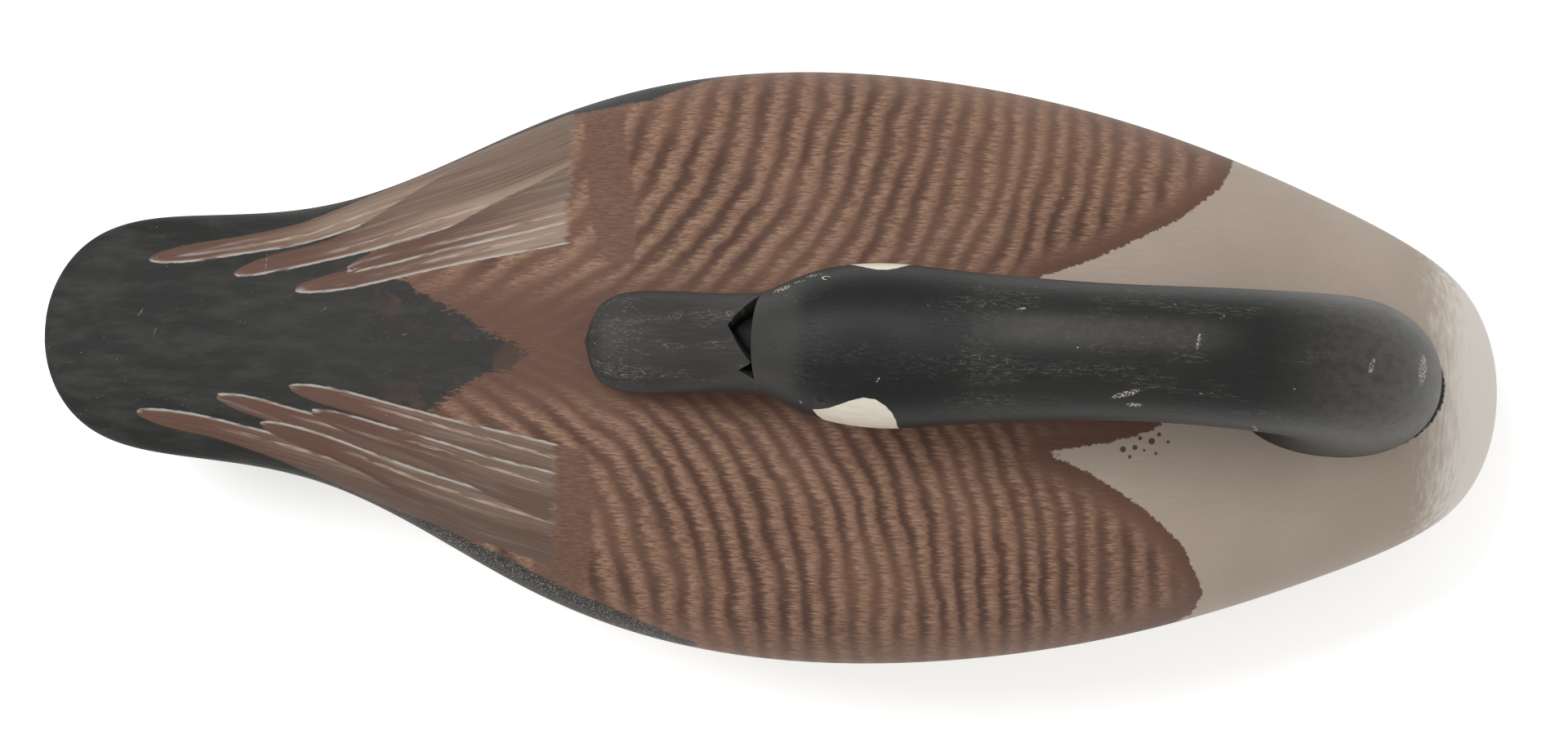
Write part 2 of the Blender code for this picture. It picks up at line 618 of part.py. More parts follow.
def make_ballast(hull_shell):
    """A lead plate let into the flat bottom, and its four countersunk screws."""
    length, width, depth = BALLAST_SIZE
    top = BALLAST_RECESS + depth
    centre = (BALLAST_X, 0, BALLAST_RECESS + depth / 2)
    plate = new_object("ballast_weight", box("ballast_weight", BALLAST_SIZE, centre), LEAD, 0.55, 0.6)
    rounded = plate.modifiers.new("round_edges", "BEVEL")
    rounded.width = BALLAST_RECESS
    rounded.segments = 2
    pocket_size = (length + 2 * GAP, width + 2 * GAP, 2 * (top + GAP))
    pocket = box("ballast_pocket", pocket_size, (BALLAST_X, 0, 0))
    combine(hull_shell, new_cutter("ballast_pocket", pocket))

    across, along = width / 2 - SCREW_INSET[1], length / 2 - SCREW_INSET[0]
    places = [(BALLAST_X + i * along, j * across) for i in (-1, 1) for j in (-1, 1)]
    for n, (x, y) in enumerate(places, 1):
        make_ballast_screw(n, x, y, plate, hull_shell)


def make_ballast_screw(n, x, y, plate, hull_shell):
    """A brass wood screw, its slotted head down and flush with the lead."""
    foot = BALLAST_RECESS + GAP
    profile = [
        (0, SCREW_LENGTH), (SCREW_RADIUS, SCREW_LENGTH - 2.5 * SCREW_RADIUS),
        (SCREW_RADIUS, SCREW_HEAD_HEIGHT), (SCREW_HEAD_RADIUS, GAP), (SCREW_HEAD_RADIUS, 0), (0, 0),
    ]
    mesh = bpy.data.meshes.new(f"ballast_screw_{n}")
    mesh.from_pydata([(r, 0, z) for r, z in profile], [(i, i + 1) for i in range(len(profile) - 1)], [])
    screw = new_object(f"ballast_screw_{n}", mesh, BRASS, rough=0.35, metal=1.0)
    screw.location = (x, y, foot)
    turning = screw.modifiers.new("turn", "SCREW")
    turning.steps = 16
    turning.render_steps = 16
    turning.use_merge_vertices = True
    turning.merge_threshold = 0.00001
    width, depth = SCREW_SLOT
    slot = box(f"screw_slot_{n}", (3 * SCREW_HEAD_RADIUS, width, 2 * depth), (x, y, foot))
    combine(screw, new_cutter(f"screw_slot_{n}", slot))
    drill(hull_shell, f"screw_pilot_{n}", SCREW_RADIUS + GAP, (x, y, foot), (x, y, foot + SCREW_LENGTH + GAP), 12)
    drill(plate, f"screw_bore_{n}", SCREW_RADIUS + GAP, (x, y, -foot), (x, y, foot + SCREW_LENGTH), 12)
    cone_top = foot + SCREW_HEAD_HEIGHT
    sink = rod(f"screw_sink_{n}", SCREW_HEAD_RADIUS + GAP, (x, y, foot), (x, y, cone_top), 16,
               end_radius=SCREW_RADIUS + GAP)
    mouth = rod(f"screw_mouth_{n}", SCREW_HEAD_RADIUS + GAP, (x, y, -foot), (x, y, foot + GAP), 16)
    for mesh in (sink, mouth):
        combine(plate, new_cutter(mesh.name, mesh))


def make_line_tie(hull_shell):
    """The staple under the breast and the ring lying in it, its far edge almost on the floor."""
    x = BODY_LENGTH / 2 - STAPLE_SETBACK
    mouth = belly(x)
    crown = mouth - STAPLE_DROP
    path = [(x, STAPLE_HALF_SPAN, mouth + STAPLE_LEG)]
    for i in range(13):
        turn = i * math.pi / 12
        path.append((x, STAPLE_HALF_SPAN * math.cos(turn), crown - STAPLE_HALF_SPAN * math.sin(turn)))
    path.append((x, -STAPLE_HALF_SPAN, mouth + STAPLE_LEG))
    wire = bpy.data.curves.new("line_staple", "CURVE")
    wire.dimensions = "3D"
    wire.bevel_depth = STAPLE_WIRE
    wire.bevel_resolution = 2
    wire.use_fill_caps = True
    line = wire.splines.new("POLY")
    line.points.add(len(path) - 1)
    for point, place in zip(line.points, path):
        point.co = (*place, 1)
    new_object("line_staple", wire, BRASS, rough=0.4, metal=1.0)
    for name, side in (("left", 1), ("right", -1)):
        y = side * STAPLE_HALF_SPAN
        drill(hull_shell, f"staple_hole_{name}", STAPLE_WIRE + GAP,
              (x, y, mouth - STAPLE_LEG), (x, y, mouth + STAPLE_LEG + GAP), 12)

    pivot_z = crown - STAPLE_HALF_SPAN + STAPLE_WIRE + RING_WIRE + RING_PLAY
    lean = math.asin(min((pivot_z - RING_WIRE - RING_PLAY) / (2 * RING_RADIUS), 1))
    bpy.ops.mesh.primitive_torus_add(
        major_radius=RING_RADIUS, minor_radius=RING_WIRE, major_segments=32, minor_segments=10)
    mesh = bpy.context.object.data
    bpy.data.objects.remove(bpy.context.object)
    mesh.transform(Matrix.Translation((0, RING_RADIUS, 0)))
    mesh.shade_smooth()
    ring = new_object("line_ring", mesh, BRASS, rough=0.35, metal=1.0)
    ring.location = (x, 0, pivot_z)
    ring.rotation_euler.x = -lean


for existing in list(bpy.data.objects):
    bpy.data.objects.remove(existing)
decoy = bpy.data.collections.new("goose_decoy")
cutters = bpy.data.collections.new("cutters")
bpy.context.scene.collection.children.link(decoy)
bpy.context.scene.collection.children.link(cutters)

back_shell, hull_shell = make_shells()
make_caulk()
make_seam_dowels()
neck = make_neck(back_shell)
head = make_head(neck)
make_bill(head)
make_eyes(head)
make_ballast(hull_shell)
make_line_tie(hull_shell)
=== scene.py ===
import json
import math

import bmesh
import bpy
import numpy as np
from mathutils import Matrix, Vector

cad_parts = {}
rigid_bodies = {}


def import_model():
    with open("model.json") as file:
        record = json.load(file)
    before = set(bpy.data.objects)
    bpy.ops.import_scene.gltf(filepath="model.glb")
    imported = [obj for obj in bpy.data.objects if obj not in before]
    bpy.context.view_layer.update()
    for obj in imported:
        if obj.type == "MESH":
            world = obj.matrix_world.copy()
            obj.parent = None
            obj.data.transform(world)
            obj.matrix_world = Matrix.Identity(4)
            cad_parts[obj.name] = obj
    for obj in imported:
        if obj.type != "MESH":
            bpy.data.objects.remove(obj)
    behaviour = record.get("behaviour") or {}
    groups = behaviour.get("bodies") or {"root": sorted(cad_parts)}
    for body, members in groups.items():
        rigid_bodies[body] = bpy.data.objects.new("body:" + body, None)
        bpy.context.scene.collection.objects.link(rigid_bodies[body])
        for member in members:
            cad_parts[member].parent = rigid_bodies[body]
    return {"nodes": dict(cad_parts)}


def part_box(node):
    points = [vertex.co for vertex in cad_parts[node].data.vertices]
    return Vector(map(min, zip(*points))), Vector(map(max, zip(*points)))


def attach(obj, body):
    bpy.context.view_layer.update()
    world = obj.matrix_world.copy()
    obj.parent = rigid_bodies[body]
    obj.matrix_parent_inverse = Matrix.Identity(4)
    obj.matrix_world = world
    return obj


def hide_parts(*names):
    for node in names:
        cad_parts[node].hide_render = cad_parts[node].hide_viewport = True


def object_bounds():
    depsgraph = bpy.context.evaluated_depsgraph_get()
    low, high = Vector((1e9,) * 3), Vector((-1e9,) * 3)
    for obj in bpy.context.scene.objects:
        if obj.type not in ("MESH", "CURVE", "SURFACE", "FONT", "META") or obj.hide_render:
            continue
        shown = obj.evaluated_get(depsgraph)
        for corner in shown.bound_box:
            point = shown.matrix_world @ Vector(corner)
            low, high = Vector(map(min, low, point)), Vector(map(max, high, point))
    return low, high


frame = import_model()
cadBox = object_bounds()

# Shapes are worked out in millimetres, as (x, y, z) arrays: x from tail to breast, y to the bird's
# left, z up from the floor. Meshes, materials and lamps are in metres.
mm = 0.001

# the body's lines

body = {
    "length": 640, "width": 259, "height": 140,
    "seam": 45, "seamGap": 0.8,  # the glued seam, and half the room left for its caulk
    "wall": 20, "floor": 20,
    "topFullness": 2.2, "bellyFullness": 2.6,  # how square a section is, above and below its widest line
    "widthLine": ((0, 0), (.034, .328), (.068, .390), (.135, .424), (.202, .487), (.269, .630),
                  (.336, .797), (.403, .918), (.504, .998), (.605, .988), (.739, .873),
                  (.873, .649), (.940, .497), (.974, .370), (1, 0)),
    "backLine": ((0, .560), (.034, .610), (.10, .655), (.20, .720), (.30, .802), (.40, .885),
                 (.50, .950), (.60, .990), (.70, 1), (.79, .975), (.87, .886), (.94, .721),
                 (.975, .571), (1, .357)),
    "girthLine": ((0, .560), (.10, .550), (.20, .525), (.30, .505), (.50, .490), (.70, .475),
                  (.87, .414), (1, .357)),
    "bellyLine": ((0, .560), (.034, .525), (.10, .475), (.20, .335), (.30, .145), (.40, .014),
                  (.50, -.030), (.60, -.036), (.70, -.030), (.79, 0), (.87, .060), (.94, .160),
                  (.975, .245), (1, .357)),
    "cavity": (-129, 179.5), "cavitySwell": .3,
    "caulkHalf": .5, "pocketPlay": .3,
    "stations": 540, "columns": 156, "innerColumns": 14,  # points along and around the painted skins
    "hullStations": 300, "hullColumns": 110,
}


def spline(knots):
    # the natural cubic through (place, value) knots: its bend at each knot solves one linear system
    t, v = (np.array(column, float) for column in zip(*knots))
    step = np.diff(t)
    system, pull = np.eye(len(t)), np.zeros(len(t))
    for i in range(1, len(t) - 1):
        system[i, i - 1:i + 2] = step[i - 1], 2 * (step[i - 1] + step[i]), step[i]
        pull[i] = 6 * ((v[i + 1] - v[i]) / step[i] - (v[i] - v[i - 1]) / step[i - 1])
    bend = np.linalg.solve(system, pull)

    def value(place):
        i = np.clip(np.searchsorted(t, place) - 1, 0, len(step) - 1)
        h, a, b = step[i], t[i + 1] - place, place - t[i]
        cubic = (bend[i] * a**3 + bend[i + 1] * b**3) / (6 * h)
        return cubic + (v[i] / h - bend[i] * h / 6) * a + (v[i + 1] / h - bend[i + 1] * h / 6) * b

    return value


def rounding(share):
    # a share of the length as a share of a half turn, acos(1 - 2 s) / pi, which makes blunt ends round
    return np.arccos(np.clip(1 - 2 * np.asarray(share, float), -1, 1)) / math.pi


def bodyCurve(knots, scale):
    # one of the body's lines as a function of x: the spline through its knots, run over rounding(s)
    curve = spline([(float(rounding(share)), value * scale) for share, value in knots])
    return lambda x: curve(rounding(x / body["length"] + .5))


halfWidth = bodyCurve(body["widthLine"], body["width"] / 2)
back = bodyCurve(body["backLine"], body["height"])
girth = bodyCurve(body["girthLine"], body["height"])
belly = bodyCurve(body["bellyLine"], body["height"])


def power(value, exponent):
    # the power of the size, with the sign kept
    return np.sign(value) * np.abs(value) ** exponent


def smooth(value, low, high):
    # 0 below low, 1 above high, and the usual 3t^2 - 2t^3 between
    t = np.clip((value - low) / (high - low), 0, 1)
    return t * t * (3 - 2 * t)


def stationsAlong(low, high, count):
    # places from low to high, packed towards both ends so that blunt ends come out round
    s = np.linspace(0, 1, count)
    return low + (high - low) * (.25 * s + .75 * (1 - np.cos(math.pi * s)) / 2)


def bodySection(x, angle):
    # superellipse: y = w cos^(2/n), z = girth + rise sin^(2/n), planed flat at the floor
    s, c = np.sin(angle), np.cos(angle)
    full = np.where(s >= 0, body["topFullness"], body["bellyFullness"])
    rise = np.where(s >= 0, back(x) - girth(x), girth(x) - belly(x))
    y = power(c, 2 / full) * halfWidth(x)
    z = np.maximum(girth(x) + power(s, 2 / full) * rise, 0)
    return np.stack([x + 0 * angle, y, z], -1)


def belowGirth(x, level):
    # where a level lies between a section's widest line, 0, and its belly, 1
    return np.clip((girth(x) - level) / (girth(x) - belly(x)), 0, 1)


def seamAngle(x, level):
    # the angle at which a section passes a level below its widest line, or -90 degrees if it doesn't
    return -np.arcsin(belowGirth(x, level) ** (body["bellyFullness"] / 2))


def seamReach(x):
    # half the body's width at the seam, from its superellipse: w (1 - drop^n)^(1/n)
    full = body["bellyFullness"]
    return halfWidth(x) * (1 - belowGirth(x, body["seam"]) ** full) ** (1 / full)


def hollow(x):
    # (half width, rise, fall) of the hollow inside: it swells as (4 s (1 - s))^p along its length
    low, high = body["cavity"]
    share = np.clip((x - low) / (high - low), 0, 1)
    swell = (4 * share * (1 - share)) ** body["cavitySwell"]
    reach = np.maximum(seamReach(x) - body["wall"], 0) * swell
    rise = (back(x) - body["wall"] - body["seam"]) * swell
    fall = (body["seam"] - np.maximum(belly(x), 0) - body["floor"]) * swell
    return reach, rise, fall


# the neck, head and bill, one bent line from the breast to the bill's tip

neckLine = {
    "seatBack": 80, "seatDepth": 8, "seatPlay": .3, "seatHalf": (53, 34), "crest": .70, "fullness": 2.2,
    # (behind the seat, above the back, heading in degrees, half depth, half width)
    "stations": ((2, -2, 93, 43, 33), (10, 21, 118, 34, 31), (33, 38, 150, 30, 29.5),
                 (64, 47, 172, 28, 28.5), (100, 47.5, 184, 27.5, 28.2), (136, 42, 190, 28, 29.8),
                 (166, 36.9, 190, 29.3, 32.2), (192, 32.9, 187, 30.5, 34.3),
                 (216, 31.9, 189, 30, 32.2), (232, 29.1, 195, 26.5, 26.8),
                 (243, 26.9, 198, 22.5, 22), (258, 22.7, 200, 17, 20.8),
                 (280, 16.8, 199, 11.5, 21.6), (301, 12.3, 195, 8, 21.5),
                 (315, 11.2, 190, 5.5, 15.5), (321, 11.2, 188, 0, 0)),
    "nape": 6.6, "brow": 11, "tip": 16,  # the stations where the neck, the head and the bill end
    "roundMm": .55,  # millimetres round the section for each degree
    "dowelHole": (6.3, 25.3),  # radius and depth, in the neck and in the head
    "rows": 330, "columns": 150,
}
seatX = body["length"] / 2 - neckLine["seatBack"]
seatRun = neckLine["seatHalf"][0]
seatSlope = math.atan2(back(seatX - seatRun) - back(seatX + seatRun), 2 * seatRun)


def neckCurves():
    # x, z, heading, half depth and half width as splines over the station's number, the seat being 0.
    # Heights count from the back straight below, or from the crest for what lies in front of it
    depthIn = neckLine["seatDepth"] - neckLine["seatPlay"]
    rows = [(seatX - depthIn * math.sin(seatSlope), float(back(seatX)) - depthIn * math.cos(seatSlope),
             90 - math.degrees(seatSlope), *neckLine["seatHalf"])]
    crestX = (neckLine["crest"] - .5) * body["length"]
    for behind, above, heading, depth, width in neckLine["stations"]:
        x = seatX - behind
        rows.append((x, float(back(min(x, crestX))) + above, heading, depth, width))
    return [spline(list(enumerate(column))) for column in zip(*rows)]


neckX, neckZ, neckHeading, neckDepth, neckWidth = neckCurves()


def neckSection(station, roll, scale=1.0):
    # the superellipse at a station: roll is 0 at the bird's left and 90 degrees on the outer side,
    # and scale shrinks it towards the line
    turn = np.radians(neckHeading(station))
    across = power(np.cos(roll), 2 / neckLine["fullness"]) * neckWidth(station) * scale
    out = power(np.sin(roll), 2 / neckLine["fullness"]) * neckDepth(station) * scale
    x = neckX(station) + out * np.sin(turn)
    z = neckZ(station) - out * np.cos(turn)
    return np.stack([x, across + 0 * x, z], -1)


# turning arrays into pieces

mergeWithin = .00002  # metres
sliverBelow = .00001
creaseAngle = math.radians(40)


def shadeSkin(mesh):
    mesh.shade_smooth()
    mesh.set_sharp_from_angle(angle=creaseAngle)


def meshFromGrid(name, grid, fields=None):
    # a skin over rows of points, each row closed on itself. fields are numbers or vectors for each
    # point, kept as attributes for the paint. Doubles are merged, so that a row whose points are all
    # one point becomes a pole.
    rows, columns = grid.shape[:2]
    index = np.arange(rows * columns).reshape(rows, columns)
    after = np.roll(index, -1, 1)
    faces = np.stack([index[:-1], after[:-1], after[1:], index[1:]], -1).reshape(-1, 4)
    mesh = bpy.data.meshes.new(name)
    mesh.from_pydata((grid.reshape(-1, 3) * mm).tolist(), [], faces.tolist())
    for key, values in (fields or {}).items():
        values = np.asarray(values, float)
        kind, slot = ("FLOAT", "value") if values.ndim == 2 else ("FLOAT_VECTOR", "vector")
        mesh.attributes.new(key, kind, "POINT").data.foreach_set(slot, values.ravel().astype("f"))
    shell = bmesh.new()
    shell.from_mesh(mesh)
    bmesh.ops.remove_doubles(shell, verts=shell.verts, dist=mergeWithin)
    bmesh.ops.dissolve_degenerate(shell, edges=shell.edges, dist=sliverBelow)
    bmesh.ops.recalc_face_normals(shell, faces=shell.faces)
    shell.to_mesh(mesh)
    shell.free()
    shadeSkin(mesh)
    return mesh


def makePiece(name, mesh, material, bodyName, slot, *nodes):
    # the mesh as a piece that rides on a body and stands in for CAD nodes
    piece = bpy.data.objects.new(name, mesh)
    bpy.context.scene.collection.objects.link(piece)
    mesh.materials.clear()
    mesh.materials.append(material)
    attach(piece, bodyName)
    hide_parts(*nodes)
    return piece


def tube(path, radius, around, closed=False):
    # a round wire along a path: each ring of points, radius (cos t side + sin t third), stands square
    # to the path, its side turned from the path's middle. The nudge keeps every cross product above 0
    path = np.asarray(path, float)
    if closed:
        ahead = np.roll(path, -1, 0) - np.roll(path, 1, 0)
    else:
        ahead = np.gradient(path, axis=0)
    ahead /= np.linalg.norm(ahead, axis=1, keepdims=True)
    nudge = np.array([1e-4, 0, 0])
    side = np.cross(ahead, path.mean(0) - path + nudge)
    side /= np.linalg.norm(side, axis=1, keepdims=True)
    third = np.cross(side, ahead)
    turn = (np.arange(around) * 2 * math.pi / around)[None, :, None]
    return path[:, None] + radius * (np.cos(turn) * side[:, None] + np.sin(turn) * third[:, None])


# where the paint goes, worked out for every point of the body

def polygonDistance(corners, x, y):
    # how far points lie inside a closed outline, negative outside: the distance to the nearest edge,
    # signed by how often a line from the point crosses the outline
    nearest = np.full(x.shape, 1e9)
    inside = np.zeros(x.shape, bool)
    for (ax, ay), (bx, by) in zip(corners, corners[1:] + corners[:1]):
        ex, ey = bx - ax, by - ay
        share = np.clip(((x - ax) * ex + (y - ay) * ey) / (ex * ex + ey * ey), 0, 1)
        nearest = np.minimum(nearest, np.hypot(x - ax - share * ex, y - ay - share * ey))
        if ay != by:
            inside ^= ((ay > y) != (by > y)) & (x < ex * (y - ay) / ey + ax)
    return np.where(inside, nearest, -nearest)


def alongPath(points, x, y, samples=30):
    # for each point, the nearest place on a smooth path: how far along it is, and how far to the
    # path's left the point lies
    places = list(enumerate(points))
    curves = [spline([(i, p[k]) for i, p in places]) for k in (0, 1)]
    s = np.linspace(0, len(points) - 1, samples)
    px, py = curves[0](s), curves[1](s)
    best, along, aside, run = np.full(x.shape, 1e9), np.zeros(x.shape), np.zeros(x.shape), 0.0
    for ax, ay, bx, by in zip(px, py, px[1:], py[1:]):
        ex, ey = bx - ax, by - ay
        size = math.hypot(ex, ey)
        share = np.clip(((x - ax) * ex + (y - ay) * ey) / size**2, 0, 1)
        dx, dy = x - ax - share * ex, y - ay - share * ey
        away = np.hypot(dx, dy)
        closer = away < best
        best = np.where(closer, away, best)
        along = np.where(closer, run + share * size, along)
        aside = np.where(closer, np.sign(ex * dy - ey * dx) * away, aside)
        run += size
    return along, aside


paintPlan = {
    # outlines seen from above, in the order that a hand would follow them
    "black": [(-28, 127), (-34, 122), (-58, 111), (-95, 103), (-114, 93), (-145, 76), (-180, 58),
              (-176, 36), (-160, 25), (-148, 18), (-134, 11), (-120, 3), (-108, -4), (-113, -9),
              (-122, -13), (-132, -19), (-142, -26), (-152, -34), (-172, -46), (-182, -64),
              (-141, -79), (-101, -97), (-83, -105), (-47, -118), (-27, -125), (-40, -131),
              (-75, -134), (-120, -131), (-180, -120), (-240, -104), (-280, -125), (-360, -150), (-360, 150),
              (-280, 125), (-240, 104), (-180, 120), (-120, 131), (-75, 134), (-40, 132)],
    "brown": [(-215, 150), (-140, 158), (-20, 158), (80, 152), (140, 138), (178, 119), (192, 108),
              (197, 99), (194, 90), (188, 80), (171, 65), (150, 53), (129, 42), (112, 36), (98, 20),
              (96, 0), (104, -16), (125, -20), (146, -21), (166, -24), (161, -28), (141, -34),
              (116, -39), (132, -45), (144, -51), (161, -61), (177, -74), (184, -85), (189, -93),
              (186, -102), (172, -110), (150, -120), (120, -134), (60, -150), (-30, -158),
              (-140, -158), (-215, -150)],
    "coverts": [(-96, 125), (-90, 107), (-85, 82), (-83, 62), (-80, 48), (-75, 36), (-62, 34),
                (-63, 63), (-66, 78), (-72, 106), (-74, 125)],
    "covertsRight": [(-108, -112), (-101, -96), (-94, -79), (-92, -60), (-91, -44), (-78, -44),
                     (-76, -58), (-74, -78), (-76, -98), (-80, -112)],
    # wing feathers, the bird's left first and each side from the outermost in: the middle line from
    # the tip to the root, and how far each widens on its outer side, where it lies under the next
    "feathers": [
        ([(-275, 31.5), (-254, 35.5), (-236, 39), (-215, 43.5), (-198, 49), (-178, 57.5), (-158, 66),
          (-138, 75), (-115, 86), (-92, 96)], 2),
        ([(-237, 26), (-218, 32), (-193, 38.5), (-172, 45), (-147, 54), (-119, 64), (-88, 78)], 17),
        ([(-210, 20), (-192, 24), (-171, 29), (-146, 36), (-119, 43), (-86, 51)], 18),
        ([(-188, 29), (-173, 35), (-146, 43), (-120, 50), (-87, 60)], 15),
        ([(-277, -35), (-259, -38), (-241, -41), (-214, -47), (-187, -53.5), (-159, -61.5), (-123, -73),
          (-90, -83)], 5),
        ([(-242, -27), (-225, -31), (-207, -35.5), (-178, -42), (-150, -50), (-123, -59), (-91, -70)], 12),
        ([(-222, -38), (-205, -43), (-185, -49), (-159, -58), (-123, -69), (-91, -77)], 9),
        ([(-210, -22), (-193, -25.5), (-173, -30), (-149, -36), (-124, -42), (-90, -50)], 12),
        ([(-200, -32), (-185, -36.5), (-163, -42.5), (-142, -48), (-118, -55), (-93, -61)], 9),
    ],
    "leftFeathers": 4,
    "featherReach": (4.3, 6.6), "reachGrows": (40, 140), "overlapGrows": (30, 125), "tipLength": 28,
    "featherDrop": 20,  # feathers end this far below the widest line
    # away from the middle the bars run forwards by reach (1 - exp(-y / fade)), where the reach is
    # sweep - ease x within its limits, and each millimetre holds rate bars, a little more or fewer
    # on each side and towards the breast
    "barSweep": (102, .4, 50), "sweepLimits": (45, 130), "barRate": (.0758, -.0032, .00005), "barSides": 15,
    "rimTop": 80,  # the neck's paint reaches the breast only above this height
    "spots": [(164, -29, .9), (161, -32, 1.4), (156, -31, .9), (154, -35, 1.1), (152, -39, .8),
              (163, -37, .7), (149, -36, 1.3), (168, -32, .7), (158, -36, .6)],
    # (x, y, length, width, degrees from the x axis)
    "scratches": [(-223, 31, 12, .5, 88), (-277, 8, 5, .7, 60), (-270, 0, 5, .6, 75), (-196, 12, 4, .5, 40),
                  (-160, 2, 3, .5, 15), (205, 59, 28, .35, 8), (120, 71, 2, .7, 0), (-16, -103, 2.4, .9, 20)],
}


def paintFields(points):
    # what bodyPaint reads at each point: how far inside each colour's outline it lies, the count of
    # bars up to it, and its place on each feather. y is unrolled below the widest line, so that the
    # paint runs on down the sides
    x, y, z = points[..., 0], points[..., 1], points[..., 2]
    below = np.maximum(girth(x) - z, 0)
    unrolled = np.where(below > 0, np.sign(y) * (np.maximum(halfWidth(x), np.abs(y)) + below), y)
    fields = {"black": polygonDistance(paintPlan["black"], x, unrolled),
              "brown": polygonDistance(paintPlan["brown"], x, unrolled)}
    fields["coverts"] = np.maximum(polygonDistance(paintPlan["coverts"], x, unrolled),
                                   polygonDistance(paintPlan["covertsRight"], x, unrolled))
    sweep, ease, fade = paintPlan["barSweep"]
    leaned = x - np.clip(sweep - ease * x, *paintPlan["sweepLimits"]) * (1 - np.exp(-np.abs(unrolled) / fade))
    rate, sideways, quicken = paintPlan["barRate"]
    sides = np.tanh(unrolled / paintPlan["barSides"])
    fields["bars"] = leaned * (rate + sideways * sides) + quicken * leaned**2
    fields["outer"] = np.abs(unrolled) / np.maximum(halfWidth(x), 1)
    seatLong, seatWide = neckLine["seatHalf"]
    along, across = (x - seatX) / (seatLong + 1), y / (seatWide + 1)
    tooLow = z < paintPlan["rimTop"]
    fields["neckRim"] = (np.sqrt(along**2 + across**2) - .94) * 40 + 90 * tooLow
    outside = -20
    for n, (path, widen) in enumerate(paintPlan["feathers"]):
        a, b = alongPath(path, x, unrolled)
        inner = b if path[0][1] < 0 else -b  # positive on the side that faces the middle of the back
        toTip = np.clip(a / paintPlan["tipLength"], 0, 1)
        near, far = paintPlan["featherReach"]
        reach = (near + (far - near) * smooth(a, *paintPlan["reachGrows"])) * np.sqrt(1 - (1 - toTip) ** 2)
        reach = reach + np.where(inner < 0, widen * smooth(a, *paintPlan["overlapGrows"]), 0)
        edge = np.where(z > girth(x) - paintPlan["featherDrop"], reach - np.abs(b), outside)
        fields[f"feather{n}"] = np.stack([a, inner, edge], -1)
    return fields


# materials: a small kit for building node graphs, then one function for each finish, where g is
# the graph being built. Patterns run from 0 to 1

def srgb(*levels):
    # an ordinary 0 to 255 colour as the linear numbers that a shader wants
    shares = [level / 255 for level in levels]
    return (*(c / 12.92 if c <= .04045 else ((c + .055) / 1.055) ** 2.4 for c in shares), 1)


